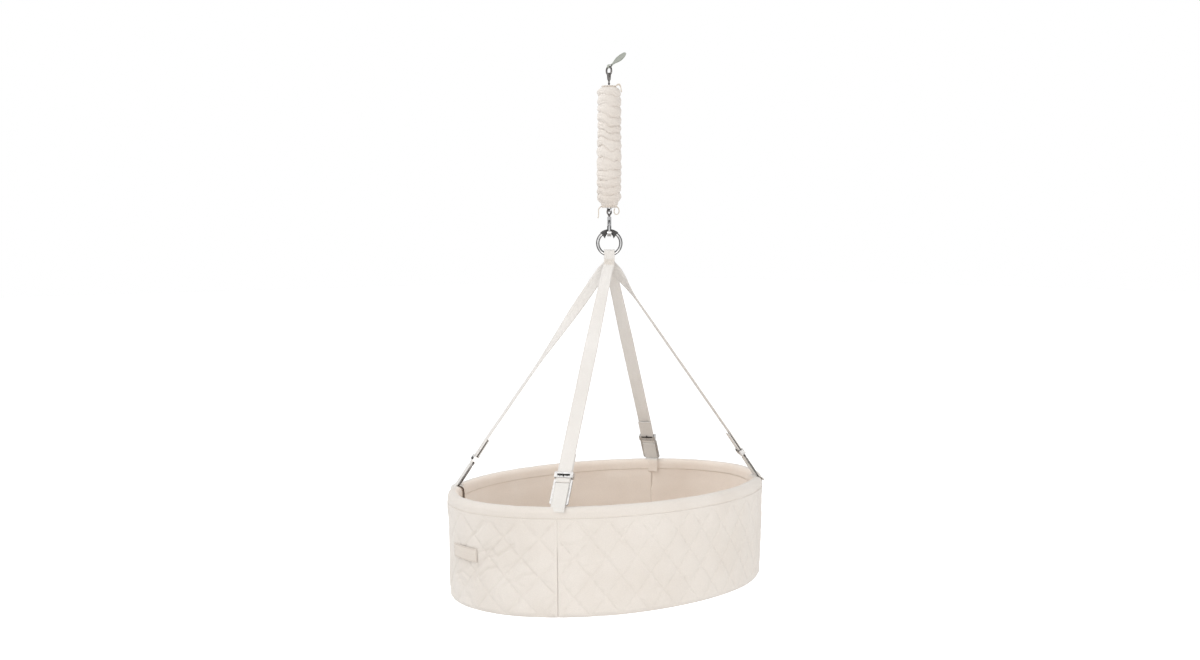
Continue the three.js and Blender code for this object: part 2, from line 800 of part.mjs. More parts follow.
// Each linked pair of loops crosses at right angles and bears with a small gap.
const linkStep = 2 * loopWire + seatGap;
const topWire = pinLoopCentre - loopRadius + linkStep;
const topLoopCentre = topWire - loopRadius;
const plugRadius = (springRadius - springWire) * Math.cos(Math.PI / curlSteps) - seatGap;
const topStemTop = topLoopCentre - loopRadius + loopWire / 2;
const topPlugTop = topStemTop - plugStem;
const topPlugBottom = topPlugTop - plugLength;
place('spring_top_hook', join(
  loop(loopRadius, loopRadius, loopWire, topLoopCentre, acrossBasket),
  post(pinRadius, topPlugTop - overrun, topStemTop),
  post(plugRadius, topPlugBottom, topPlugTop),
), springSteel);

// From the ring up: the hook's bowl, barrel and swivel loop, then the spring's lower hook
const bowlCentre = -ringDrop + ringRadius;
const bowlRadius = ringWire + seatGap + sleeveThick + seatGap + bowlEase;
const bowlOuter = bowlRadius + hookWire;
const snapBottom = bowlCentre + throatHigh;
const snapTop = snapBottom + snapBarrel;
const snapPinTop = snapTop + snapStem;
const snapLoopCentre = snapPinTop + loopRadius - loopWire / 2;
const snapTopWire = snapLoopCentre + loopRadius;
const lowLoopCentre = snapTopWire - linkStep + loopRadius;
const lowStemBottom = lowLoopCentre + loopRadius - loopWire / 2;
const lowPlugBottom = lowStemBottom + lowStem;
const lowPlugTop = lowPlugBottom + plugLength;

// Spring: one unbroken wire, wound on the two end plugs
const springTop = topPlugTop - springWire;
const springBottom = lowPlugBottom + springWire;
const springPitch = (springTop - springBottom) / springCoils;
function coil(radius, wire, turns, pitch, top, x, y) {
  const steps = turns * curlSteps;
  const rings = Array.from({ length: steps + 1 }, (_, i) => {
    const angle = (2 * Math.PI * i) / curlSteps;
    const out = point(Math.cos(angle), Math.sin(angle), 0);
    const centre = point(x, y, top - (pitch * i) / curlSteps).addScaledVector(out, radius);
    return Array.from({ length: curlSides }, (__, j) => {
      const turn = (2 * Math.PI * j) / curlSides;
      return centre.clone().addScaledVector(out, wire * Math.cos(turn)).add(point(0, 0, wire * Math.sin(turn)));
    });
  });
  return { geometry: skin(rings, false), rings };
}

// The least gap between one turn and the next, measured on the coil's own points.
function leastGap(rings) {
  let least = Infinity;
  for (let i = 0; i + curlSteps < rings.length; i++) {
    for (const p of rings[i]) {
      for (const q of rings[i + curlSteps]) least = Math.min(least, p.distanceTo(q));
    }
  }
  return least;
}

const springCoil = coil(springRadius, springWire, springCoils, springPitch, springTop, 0, 0);
console.log('least gap of the spring to itself, mm:', leastGap(springCoil.rings).toFixed(2));
place('spring', springCoil.geometry, springSteel);

place('spring_bottom_hook', join(
  post(plugRadius, lowPlugBottom, lowPlugTop),
  post(pinRadius, lowStemBottom, lowPlugBottom + overrun),
  loop(loopRadius, loopRadius, loopWire, lowLoopCentre, acrossBasket),
), springSteel);

// Ruched cover: a gathered sleeve, drawn in to a neck at each end
const coverTop = pinBottom + loopWire;
const neckTop = coverTop - coverTail;
const bodyTop = neckTop - coverTopShoulder;
const bodyBottom = lowPlugBottom - seatGap;
const neckBottom = bodyBottom - coverLowShoulder;
const coverBottom = neckBottom - coverTail;
function coverProfile() {
  const outer = [];
  const steps = 2 * coverGathers;
  for (let i = 0; i <= steps; i++) {
    const height = THREE.MathUtils.lerp(bodyTop, bodyBottom, i / steps);
    outer.push([coverRadius - (i % 2 === 0 ? coverGather : 0), height]);
  }
  const inner = coverRadius - coverGather - coverWall;
  const frill = coverNeck + coverWall;
  return [
    [frill, coverTop],
    [coverNeck + tieCord, neckTop],
    ...outer,
    [coverNeck + tieCord, neckBottom],
    [frill, coverBottom],
    [frill - coverWall / 2, coverBottom],
    [coverNeck - tieCord, neckBottom],
    [inner, bodyBottom],
    [inner, bodyTop],
    [coverNeck - tieCord, neckTop],
    [frill - coverWall / 2, coverTop],
  ];
}
const coverRings = Array.from({ length: coverSides }, (_, i) => {
  const angle = (2 * Math.PI * i) / coverSides;
  return coverProfile().map(([radius, height]) => point(radius * Math.cos(angle), radius * Math.sin(angle), height));
});
place('spring_cover', skin(coverRings, true), cream);

// Ties: a drawstring round each neck. Its ends start inside the cord round the neck and hang.
const tieRadius = coverNeck + 3 * tieCord;
const loopShares = [[0, 0], [0.45, 0.12], [0.9, 0.3], [1, 0.62], [0.82, 0.95], [0.5, 1], [0.36, 0.7], [0.4, 0.34]];
const endShares = [[0, 0], [0.5, 0.1], [0.85, 0.35], [0.95, 0.7], [1, 1]];
const overShares = [[0, 0], [0.3, -0.6], [0.62, -0.85], [0.88, -0.5], [0.98, 0.2], [1, 1]];
const tieSection = outline(Array.from({ length: barSides }, (_, i) => {
  const angle = (2 * Math.PI * i) / barSides;
  return [tieCord * Math.cos(angle), tieCord * Math.sin(angle)];
}));
function tieEnd(height, turn, reach, drop, shares) {
  const start = tieRadius - tieCord / 2;
  const side = point(Math.cos(turn), Math.sin(turn), 0);
  const path = new THREE.CatmullRomCurve3(shares.map(([out, down]) => side.clone()
    .multiplyScalar(THREE.MathUtils.lerp(start, reach, out))
    .setZ(height - down * drop)));
  return new THREE.ExtrudeGeometry(tieSection, { steps: loopSteps, extrudePath: path, bevelEnabled: false });
}
function tie(height, ...ends) {
  const cord = new THREE.TorusGeometry(tieRadius, tieCord, loopSides, coverSides);
  cord.translate(0, 0, height);
  return join(cord, ...ends);
}
place('cover_top_tie', tie(
  neckTop,
  tieEnd(neckTop, ringAngle + tieSpread, topEndReach, topEndDrop, overShares),
  tieEnd(neckTop, ringAngle - tieSpread, topEndReach, topEndDrop, overShares),
), paleWebbing);
place('cover_bottom_tie', tie(
  neckBottom,
  tieEnd(neckBottom, ringAngle, lowLoopReach, lowLoopDrop, loopShares),
  tieEnd(neckBottom, ringAngle + Math.PI, lowEndReach, lowEndDrop, endShares),
), paleWebbing);

// Snap hook: swivel loop, barrel, hook and a sprung bolt that shuts the throat
const snapHeadLow = snapBottom + snapBarrel / 3;
place('snap_eye', join(
  loop(loopRadius, loopRadius, loopWire, snapLoopCentre, 0),
  post(pinRadius, snapHeadLow, snapPinTop),
  post(pinHeadRadius, snapHeadLow, snapHeadLow + pinHeadThick),
), gunmetal);

const snapGroup = new THREE.Group();
snapGroup.rotation.z = ringAngle;
cradle.add(snapGroup);

// Hook outline in the plane square to the ring: X is towards the throat, Y is up
const hookShape = new THREE.Shape();
hookShape.moveTo(snapFront, snapTop);
hookShape.lineTo(snapFront, snapBottom);
hookShape.lineTo(-bowlRadius / 2, snapBottom);
hookShape.lineTo(-bowlRadius, bowlCentre + bowlRadius);
hookShape.lineTo(-bowlRadius, bowlCentre);
hookShape.absarc(0, bowlCentre, bowlRadius, Math.PI, 0, false);
hookShape.lineTo(bowlRadius, bowlCentre + seatGap);
hookShape.lineTo(bowlOuter, bowlCentre + seatGap);
hookShape.lineTo(bowlOuter, bowlCentre);
hookShape.absarc(0, bowlCentre, bowlOuter, 0, Math.PI, true);
hookShape.lineTo(-bowlOuter, bowlCentre + bowlRadius);
hookShape.lineTo(-snapBack, snapBottom + hookWire);
hookShape.lineTo(-snapBack, snapTop);
const hookPlate = extrude(hookShape, snapWide, 2 * rollSteps);
hookPlate.translate(0, 0, -snapWide / 2);
hookPlate.rotateX(Math.PI / 2);
hookPlate.rotateZ(-Math.PI / 2);
const boltBore = boltRadius + seatGap;
const boltY = -boltOffset;
const guideTop = snapBottom + boltGuide + boltTravel + overrun;
const knobHeight = snapBottom + knobRadius + overrun / 2;
place('snap_hook', cut(
  hookPlate,
  post(boreRadius, snapHeadLow, snapTop + overrun),
  post(pinHeadRadius + seatGap, snapHeadLow - seatGap, snapHeadLow + pinHeadThick + seatGap),
  post(boltBore, snapBottom - overrun, guideTop, 0, boltY),
  block(
    2 * (knobRadius + seatGap),
    snapFront,
    snapBottom - overrun,
    knobHeight + knobRadius + boltTravel + seatGap,
    0,
    boltY - snapFront / 2,
  ),
), gunmetal, snapGroup);

const tipTop = bowlCentre + seatGap;
const boltBottom = tipTop + seatGap;
const boltTop = snapBottom + boltGuide;
const knob = new THREE.CylinderGeometry(knobRadius, knobRadius, boltOffset, roundSides);
knob.translate(0, -(snapFront + knobReach) + boltOffset / 2, knobHeight);
place('snap_bolt', join(post(boltRadius, boltBottom, boltTop, 0, boltY), knob), gunmetal, snapGroup);

const boltSpringRoom = guideTop - seatGap - boltTop - seatGap;
const boltSpringPitch = (boltSpringRoom - 2 * boltSpringWire) / boltSpringCoils;
const boltCoil = coil(
  boltRadius - boltSpringWire,
  boltSpringWire,
  boltSpringCoils,
  boltSpringPitch,
  guideTop - seatGap - boltSpringWire,
  0,
  boltY,
);
console.log('least gap of the bolt spring to itself, mm:', leastGap(boltCoil.rings).toFixed(2));
place('bolt_spring', boltCoil.geometry, springSteel, snapGroup);

// Hang tab: stiff tape folded through the eye, narrow at the fold and leaf-shaped beyond
const tabBore = eyeWire + tabLoopSlack;
const tabOuter = tabBore + tabThick / 2;
const foldCentre = eyeCentre + eyeHalfHeight;
const tabLean = Math.atan2(tabRise, tabReach);
const tabProfile = join(
  new THREE.CylinderGeometry(tabOuter, tabOuter, 2 * tabLeafWidth, roundSides),
  (() => {
    const tail = new THREE.BoxGeometry(tabReach, 2 * tabLeafWidth, tabThick);
    tail.translate(tabReach / 2, 0, 0);
    tail.rotateY(-tabLean);
    return tail;
  })(),
);
const tabLoop = cut(tabProfile, new THREE.CylinderGeometry(tabBore, tabBore, 3 * tabLeafWidth, roundSides));
const leafShares = [[0.25, 0.7], [0.5, 1], [0.75, 0.8], [0.93, 0.4]];
const leafSide = (sign) => leafShares.map(([along, wide]) => [
  tabNeckReach + along * (tabReach - tabNeckReach),
  sign * wide * tabLeafWidth / 2,
]);
const leaf = extrude(outline([
  [-2 * tabOuter, -tabNeckWidth / 2],
  [tabNeckReach, -tabNeckWidth / 2],
  ...leafSide(-1),
  [tabReach, 0],
  ...leafSide(1).reverse(),
  [tabNeckReach, tabNeckWidth / 2],
  [-2 * tabOuter, tabNeckWidth / 2],
]), 2 * tabReach, 1);
leaf.translate(0, 0, -tabReach);
const hangTab = common(tabLoop, leaf);
hangTab.translate(0, 0, foldCentre);
place('hang_tab', hangTab, greyTape);

export default cradle;
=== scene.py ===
"""Hanging baby cradle: cloth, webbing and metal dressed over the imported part.

Metres, +Z up, X along the basket, origin where the top eye hangs on its support.
"""

import json
from math import atan2, cos, exp, hypot, pi, prod, radians, sin, sqrt

import bmesh
import bpy
import numpy as np
from mathutils import Matrix, Vector, noise

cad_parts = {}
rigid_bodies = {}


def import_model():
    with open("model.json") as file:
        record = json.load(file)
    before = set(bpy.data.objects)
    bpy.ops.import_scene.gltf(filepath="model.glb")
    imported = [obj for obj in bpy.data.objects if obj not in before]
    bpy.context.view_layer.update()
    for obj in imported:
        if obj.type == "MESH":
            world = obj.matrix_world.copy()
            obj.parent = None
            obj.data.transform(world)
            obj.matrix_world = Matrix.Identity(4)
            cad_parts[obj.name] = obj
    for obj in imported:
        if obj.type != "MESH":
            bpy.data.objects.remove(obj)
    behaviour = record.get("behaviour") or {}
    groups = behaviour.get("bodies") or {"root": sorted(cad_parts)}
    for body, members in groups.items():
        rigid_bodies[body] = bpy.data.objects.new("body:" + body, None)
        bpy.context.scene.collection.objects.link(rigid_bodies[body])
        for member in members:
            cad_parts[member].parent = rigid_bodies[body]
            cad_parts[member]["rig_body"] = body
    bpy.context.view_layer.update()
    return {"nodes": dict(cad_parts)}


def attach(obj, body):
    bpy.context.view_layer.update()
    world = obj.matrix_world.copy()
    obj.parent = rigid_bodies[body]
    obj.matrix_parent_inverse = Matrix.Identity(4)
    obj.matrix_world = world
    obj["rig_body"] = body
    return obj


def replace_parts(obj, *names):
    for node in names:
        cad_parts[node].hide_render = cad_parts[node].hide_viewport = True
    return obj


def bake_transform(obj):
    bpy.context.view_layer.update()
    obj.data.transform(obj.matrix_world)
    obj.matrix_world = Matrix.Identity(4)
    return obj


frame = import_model()

# Basket
half_length = 0.390
half_width = 0.2815
wall_height = 0.225
wall_taper = 0.006
rim_drop = 0.902
seam_angle = radians(40)
seat_gap = 0.0003

# Layers of the basket wall and floor
panel_top = 0.0243
panel_bottom = 0.2217
panel_tuck = 0.0016
panel_thick = 0.0022
edge_sunk = 0.0004
quilt_depth = 0.0028
seam_sunk = 0.0010
foam_top = 0.019
foam_bottom = 0.2160
foam_out = 0.0073
foam_in = 0.0225
lining_out = 0.0228
lining_thick = 0.0014
lining_tucked = 0.0017
lining_cloth_thick = 0.0011
base_cloth_thick = 0.0020
floor_cloth_thick = 0.0018
roll_radius = 0.013
roll_centre = 0.01415
binding_thick = 0.0024
binding_drop = 0.024
topstitch_in = 0.0032
floor_below = 0.2164
floor_cloth_below = 0.2141
floor_in = 0.0330
base_in = 0.004
base_seam_in = 0.0135

# Quilting
diamond_height = 0.079
label_end_cells = 14
plain_end_cells = 16
pull_reach = 0.006
groove_half = 0.0013
crease_depth = 0.0021
crease_half = 0.0030
stitch_long = 0.0032
stitch_pitch = 0.0047
thread_radius = 0.00035
fine_thread = 0.00030

# Label and the creases beside it, as places along the panel and below the rim
label_wide = 0.086
label_high = 0.028
label_drop = 0.108
label_shift = 0.012
label_thick = 0.0009
label_stitch = 0.0026
label_creases = (
    ((0.887, 0.100), (0.905, 0.094), (0.919, 0.090), (0.933, 0.104), (0.949, 0.092), (0.971, 0.078)),
    ((0.868, 0.068), (0.882, 0.058), (0.905, 0.036)),
    ((0.889, 0.148), (0.909, 0.132), (0.930, 0.126)),
    ((0.800, 0.160), (0.828, 0.150), (0.850, 0.156)),
    ((0.975, 0.150), (0.990, 0.138), (1.012, 0.134)),
)

# Mattress
mattress_top = 0.1686
mattress_bottom = 0.2136
mattress_in = 0.0298
piping_in = mattress_in + 0.0032
piping_radius = 0.0021
mattress_start = (0.988, 0.984, 0.93)
mattress_voxel = 0.006
stuffing_steps = 16
most_swelling = 0.005

# Ring, hook and webbing
ring_drop = 0.380
ring_radius = 0.0252
ring_wire = 0.0038
ring_turn = radians(-41)
sleeve_thick = 0.0012
sleeve_swell = 0.0062
sleeve_spread = radians(40)
webbing_width = 0.030
webbing_gathered = 0.023
webbing_thick = 0.0018
front_back_untwist = 0.200
left_untwist = 0.300
right_untwist = 0.110
widen_length = 0.240
leg_bend = 0.032
sewn_length = 0.016
tab_tail = 0.017
tab_foot = 0.0065
tab_stitch = 0.0019
tab_thread = 0.00028
tab_straight = 0.0030
tab_brow = 0.75
run_gap = 0.0004

# Hanger hardware at the foot of each leg
frame_length = 0.056
frame_rise = 0.004
frame_bar = 0.005
frame_thick = 0.0024
doubled_length = 0.060
slider_clear = 0.002
slider_thick = 0.0036

# Spring, its cover and its ties
cover_top = -0.0391
cover_bottom = -0.3031
cover_radius = 0.0211
cover_least = 0.0198
cover_fold = 0.0195
cover_neck = 0.0124
cover_frill = 0.0146
cover_thick = 0.0009
neck_drop = 0.004
top_shoulder = 0.009
low_shoulder = 0.020
spring_top = -0.06385
spring_bottom = -0.28500
spring_radius = 0.017
spring_wire = 0.0018
spring_coils = 27
tie_radius = 0.0011
tie_ring = 0.0138
tie_top = -0.0431
tie_low = -0.2991

# Studio
floor_height = -1.6
floor_glow = 0.6
world_level = 0.77
key_power = 19
fill_power = 24
top_power = 23
low_power = 18

tau = 2 * pi


# Places round the oval

oval_steps = 1440
oval_angles = np.linspace(0, tau, oval_steps + 1)
middle_angles = (oval_angles[1:] + oval_angles[:-1]) / 2
oval_speed = np.hypot(half_length * np.sin(middle_angles), half_width * np.cos(middle_angles))
oval_runs = np.concatenate([[0], np.cumsum(oval_speed) * tau / oval_steps])
oval_run = float(oval_runs[-1])
half_run = oval_run / 2
seam_run = float(np.interp(seam_angle, oval_angles, oval_runs))


def on_oval(run, inward, below):
    """A point that far round the basket, in from its outside and below its rim."""
    angle = float(np.interp(run % oval_run, oval_runs, oval_angles))
    lean = wall_taper * below / wall_height
    x = (half_length - inward - lean) * cos(angle)
    y = (half_width - inward - lean) * sin(angle)
    return Vector((x, y, -rim_drop - below))


def smooth(share):
    share = min(1.0, max(0.0, share))
    return share * share * (3 - 2 * share)


def mixed(a, b, share):
    return a + (b - a) * share


def uneven(x, y, z):
    """A smooth random height between -1 and 1."""
    return noise.noise(Vector((x, y, z)))


# Making pieces

def finished(name, mesh, body, finish, replaces=(), thick=0.0, offset=-1):
    """A piece from a bmesh that is already in its place, riding on a body of the part.

    Cloth and rubber come as a single layer and are given their thickness.
    """
    data = bpy.data.meshes.new(name)
    mesh.to_mesh(data)
    mesh.free()
    data.shade_smooth()
    data.materials.append(finish)
    made = bpy.data.objects.new(name, data)
    bpy.context.scene.collection.objects.link(made)
    if body:
        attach(made, body)
    if replaces:
        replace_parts(made, *replaces)
    if thick:
        wall = made.modifiers.new("thickness", "SOLIDIFY")
        wall.thickness = thick
        wall.offset = offset
    return made


def cloth_grid(columns, rows, wide, high, place, closed=False):
    """A grid of cloth of that cut size, laid in its place, with its cut kept as a UV map in metres.

    Where its edges meet, they are joined.
    """
    mesh = bmesh.new()
    cut = mesh.loops.layers.uv.new("cut")
    bmesh.ops.create_grid(mesh, x_segments=columns, y_segments=rows, size=0.5)
    for face in mesh.faces:
        for loop in face.loops:
            at = loop.vert.co
            loop[cut].uv = ((at.x + 0.5) * wide, (at.y + 0.5) * high)
    for vert in mesh.verts:
        vert.co = place((vert.co.x + 0.5) * wide, (vert.co.y + 0.5) * high)
    if closed:
        bmesh.ops.remove_doubles(mesh, verts=mesh.verts, dist=0.00001)
    return mesh


def faced_out(mesh):
    bmesh.ops.recalc_face_normals(mesh, faces=mesh.faces)
    return mesh


def closed_rod(path, radius, sides):
    """A round rod along a path of points that comes back to its start."""
    count = len(path)
    length = sum((b - a).length for a, b in zip(path, path[1:]))
    side = (path[1] - path[0]).orthogonal().normalized()
    frames = []
    for i, at in enumerate(path):
        along = (path[(i + 1) % count] - path[i - 1]).normalized()
        side = (side - along * side.dot(along)).normalized()
        frames.append((at, side, along.cross(side)))

    def place(run, turn):
        at, out, square = frames[round(run / length * count) % count]
        angle = turn / radius
        return at + (out * cos(angle) + square * sin(angle)) * radius

    return faced_out(cloth_grid(count, sides, length, tau * radius, place, True))


def torus(mesh, centre, turn, wide, high, wire, steps=40, sides=14):
    """An upright closed loop of wire in the plane that holds the direction at that turn."""
    before = set(mesh.verts)
    made = bmesh.ops.create_circle(mesh, segments=sides, radius=wire)["verts"]
    bmesh.ops.rotate(mesh, verts=made, matrix=Matrix.Rotation(pi / 2, 3, "X"))
    bmesh.ops.translate(mesh, verts=made, vec=(wide, 0, 0))
    edges = list(dict.fromkeys(e for v in made for e in v.link_edges))
    bmesh.ops.spin(mesh, geom=edges, cent=(0, 0, 0), axis=(0, 0, 1), angle=tau, steps=steps,
                   use_merge=True, use_duplicate=False)
    new = [v for v in mesh.verts if v not in before]
    bmesh.ops.rotate(mesh, verts=new, matrix=Matrix.Rotation(pi / 2, 3, "X"))
    for vert in new:
        vert.co.z *= high / wide
    bmesh.ops.rotate(mesh, verts=new, matrix=Matrix.Rotation(turn, 3, "Z"))
    bmesh.ops.translate(mesh, verts=new, vec=centre)


def barrel(mesh, radius, low, high, edge=0.0003, sides=28, low_radius=None):
    """An upright round post with eased edges."""
    before = set(mesh.verts)
    place = Matrix.Translation((0, 0, (low + high) / 2))
    bmesh.ops.create_cone(mesh, cap_ends=True, segments=sides, radius1=low_radius or radius,
                          radius2=radius, depth=high - low, matrix=place)
    new = [v for v in mesh.verts if v not in before]
    edges = dict.fromkeys(e for v in new for e in v.link_edges)
    rims = [e for e in edges if e.is_manifold and e.calc_face_angle(0) > 1]
    bmesh.ops.bevel(mesh, geom=rims, offset=edge, segments=2, profile=0.5,
                    affect="EDGES", material=-1)


sharp_turn = 0.5


def eased_copy(name, node, finish, edge, segments=2, painted_highlight=None):
    """The part's own solid with its edges eased, standing for the node.

    Given a direction, its faces square to that direction get the brighter nickel as a painted highlight,
    and the rest keeps the darker finish.
    """
    mesh = bmesh.new()
    mesh.from_mesh(frame["nodes"][node].data)
    bmesh.ops.remove_doubles(mesh, verts=mesh.verts, dist=0.00002)
    bmesh.ops.dissolve_limit(mesh, angle_limit=0.02, verts=mesh.verts, edges=mesh.edges)
    sharp = [e for e in mesh.edges if e.is_manifold and e.calc_face_angle(0) > sharp_turn]
    bmesh.ops.bevel(mesh, geom=sharp, offset=edge, segments=segments, profile=0.5,
                    affect="EDGES", clamp_overlap=True, material=-1)
    # Painted highlight: faces square to the direction take the brighter nickel
    if painted_highlight:
        for face in mesh.faces:
            face.material_index = int(abs(face.normal.dot(painted_highlight)) > 0.9)
    body = frame["nodes"][node]["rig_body"]
    made = finished(name, mesh, body, finish, [node])
    if painted_highlight:
        made.data.materials.append(painted_highlight_nickel)
    even = made.modifiers.new("even shading", "WEIGHTED_NORMAL")
    even.keep_sharp = True
    return made


def stitched(name, places, long=stitch_long, radius=thread_radius, finish=None):
    """Short raised threads on the basket, each at a place with the ways it runs and faces.

    They are made a few dozen at a time, because each new thread takes longer in a full mesh.
    """
    mesh = bmesh.new()
    for first in range(0, len(places), 48):
        few = bmesh.new()
        for at, along, facing in places[first:first + 48]:
            along = along.normalized()
            facing = (facing - along * facing.dot(along)).normalized()
            side = facing.cross(along)
            turn = Matrix((along, side, facing)).transposed().to_4x4()
            shape = Matrix.Diagonal((long / 2, radius, radius, 1))
            bmesh.ops.create_icosphere(few, subdivisions=1, radius=1,
                                       matrix=Matrix.Translation(at) @ turn @ shape)
        batch = bpy.data.meshes.new("batch")
        few.to_mesh(batch)
        few.free()
        mesh.from_mesh(batch)
        bpy.data.meshes.remove(batch)
    finished(name, mesh, "basket", finish or thread)


# Finishes

class Wiring:
    """The nodes of a material or of the world, and the links between them."""

    def __init__(self, owner):
        owner.use_nodes = True
        self.nodes, self.links = owner.node_tree.nodes, owner.node_tree.links

    def fill(self, node, sockets):
        """Gives each socket its value, or a link from another node's output."""
        for socket, value in sockets.items():
            if isinstance(value, bpy.types.NodeSocket):
                self.links.new(value, node.inputs[socket])
            else:
                node.inputs[socket].default_value = value

    def node(self, kind, sockets, output=0, **settings):
        made = self.nodes.new("ShaderNode" + kind)
        for key, value in settings.items():
            setattr(made, key, value)
        self.fill(made, sockets)
        return made.outputs[output]

    def spot(self, kind="Object"):
        return self.node("TexCoord", {}, kind)

    def noise(self, at, scale, detail, rough=0.5):
        return self.node("TexNoise", {"Vector": at, "Scale": scale, "Detail": detail,
                                      "Roughness": rough}, "Fac")

    def ranged(self, value, low, high):
        return self.node("MapRange", {"Value": value, "To Min": low, "To Max": high})

    def share(self, value, start, end, kind="LINEAR"):
        return self.node("MapRange", {"Value": value, "From Min": start, "From Max": end},
                         interpolation_type=kind)

    def combined(self, first, second, operation="MULTIPLY"):
        return self.node("Math", {0: first, 1: second}, operation=operation)

    def joined(self, share, near, far):
        return self.node("Mix", {0: share, 6: near, 7: far}, 2, data_type="RGBA")

    def bump(self, height, strength, distance, sockets=()):
        return self.node("Bump", {"Height": height, "Strength": strength, "Distance": distance,
                                  **dict(sockets)})

    def between(self, factor, low, high):
        """A colour that goes from one to the other over the middle of the factor's range."""
        ramp = self.nodes.new("ShaderNodeValToRGB")
        for stop, position, colour in zip(ramp.color_ramp.elements, (0.35, 0.65), (low, high)):
            stop.position = position
            stop.color = (*colour, 1)
        self.links.new(factor, ramp.inputs["Fac"])
        return ramp.outputs["Color"]


def new_material(name):
    material = bpy.data.materials.new(name)
    wiring = Wiring(material)
    return material, wiring, wiring.nodes["Principled BSDF"]


def woven(name, colour, shade, thread, relief, ribs=1.0, slant=0.0, wrinkle=0.0,
          wrinkle_size=30.0, beyond=None):
    """Woven cloth: over-and-under threads on the cut's own map, fading and loose fibre.

    Beyond a place along the cut, given with two more colours, it is the cloth sewn to it.
    """
    material, wiring, shader = new_material(name)
    spot = wiring.spot()
    cut = wiring.node("UVMap", {}, uv_map="cut")
    waves = []
    for turn, size in ((slant, thread), (slant + pi / 2, thread * ribs)):
        laid = wiring.node("Mapping", {"Vector": cut, "Rotation": (0, 0, turn)})
        waves.append(wiring.node("TexWave", {"Vector": laid, "Scale": tau / 20 / size,
                                             "Distortion": 0.6, "Detail": 1.0,
                                             "Detail Scale": 2.0}, "Fac"))
    weave = wiring.combined(*waves)
    broad = wiring.noise(spot, 9.0, 4.0)
    tone = wiring.between(broad, shade, colour)
    if beyond:
        at, soft, far_colour, far_shade = beyond
        along = wiring.node("SeparateXYZ", {0: cut}, "Y")
        far_tone = wiring.between(broad, far_shade, far_colour)
        tone = wiring.joined(wiring.share(along, at - soft, at + soft), tone, far_tone)
    fibre = wiring.noise(spot, 700.0, 2.0)
    depth = wiring.combined(wiring.ranged(fibre, 0.88, 1.06), wiring.ranged(weave, 0.93, 1.03))
    normal = wiring.bump(weave, 0.7, relief)
    if wrinkle:
        crease = wiring.noise(spot, wrinkle_size, 3.0, 0.45)
        normal = wiring.bump(crease, 0.6, wrinkle, {"Normal": normal})
    wiring.fill(shader, {
        "Base Color": wiring.node("VectorMath", {0: tone, "Scale": depth}, operation="SCALE"),
        "Roughness": wiring.ranged(fibre, 0.82, 0.96), "Normal": normal,
        "Sheen Weight": 0.25, "Sheen Roughness": 0.5, "Specular IOR Level": 0.25})
    return material


def plated(name, colour, dull, rough, painted_highlight_axis=None):
    """Plated or drawn metal: patchy gloss, fine scratches and handling marks.

    Given a direction, it has a painted highlight where it faces that way and a painted dark reflection,
    near black, elsewhere.
    """
    material, wiring, shader = new_material(name)
    marks = wiring.noise(wiring.spot(), 130.0, 5.0, 0.6)
    tone = wiring.between(marks, dull, colour)
    # Painted highlight on the faces along the direction; the other faces are painted near black as a dark
    # reflection
    if painted_highlight_axis:
        faced = wiring.node("VectorMath", {0: wiring.spot("Normal"), 1: painted_highlight_axis}, "Value",
                            operation="DOT_PRODUCT")
        size = wiring.node("Math", {0: faced}, operation="ABSOLUTE")
        painted_highlight = wiring.share(size, 0.90, 0.985, "SMOOTHSTEP")
        tone = wiring.joined(painted_highlight, (0.085, 0.083, 0.081, 1), tone)
    scratches = wiring.noise(wiring.spot(), 900.0, 2.0)
    wiring.fill(shader, {
        "Base Color": tone, "Roughness": wiring.ranged(marks, rough * 0.7, rough * 1.5),
        "Normal": wiring.bump(scratches, 0.35, 0.00002), "Metallic": 1.0})
    return material


def grainy(name, colour, dull, rough, size, relief, stretch=(1, 1, 1)):
    """A dull material with a fine grain, such as rubber, foam, thread or plywood."""
    material, wiring, shader = new_material(name)
    laid = wiring.node("Mapping", {"Vector": wiring.spot(), "Scale": stretch})
    grain = wiring.noise(laid, size, 4.0)
    wiring.fill(shader, {
        "Base Color": wiring.between(grain, dull, colour), "Roughness": rough,
        "Normal": wiring.bump(grain, 0.5, relief), "Specular IOR Level": 0.3})
    return material


quilted_pale, quilted_shade = (0.79, 0.742, 0.69), (0.75, 0.697, 0.64)
lining_pale, lining_shade = (0.915, 0.817, 0.73), (0.87, 0.762, 0.67)
binding_outside = binding_drop - roll_radius
binding_over = pi * roll_radius

quilted_cotton = woven("quilted_cotton", quilted_pale, quilted_shade, 0.0006, 0.00008,
                       wrinkle=0.0012, wrinkle_size=26.0)
rim_cotton = woven("rim_cotton", quilted_pale, quilted_shade, 0.0006, 0.00008,
                   wrinkle=0.0008, wrinkle_size=30.0,
                   beyond=(binding_outside + binding_over * 0.62, 0.002, lining_pale, lining_shade))
lining_cotton = woven("lining_cotton", lining_pale, lining_shade, 0.0007, 0.0001,
                      wrinkle=0.002, wrinkle_size=14.0)
cover_cotton = woven("cover_cotton", (0.785, 0.735, 0.685), (0.735, 0.675, 0.62), 0.0006, 0.00008,
                     wrinkle=0.0012, wrinkle_size=70.0)
mattress_cotton = woven("mattress_cotton", (0.84, 0.80, 0.75), (0.79, 0.745, 0.69), 0.0008, 0.0001,
                        wrinkle=0.0015, wrinkle_size=18.0)
webbing_cotton = woven("webbing_cotton", (0.84, 0.812, 0.78), (0.80, 0.767, 0.73), 0.0013, 0.00028,
                       ribs=0.7, slant=radians(28))
tab_cotton = woven("tab_cotton", lining_pale, lining_shade, 0.0013, 0.00028, ribs=0.7,
                   slant=radians(28),
                   beyond=(tab_tail + 0.012, 0.004, (0.82, 0.80, 0.77), (0.785, 0.76, 0.725)))
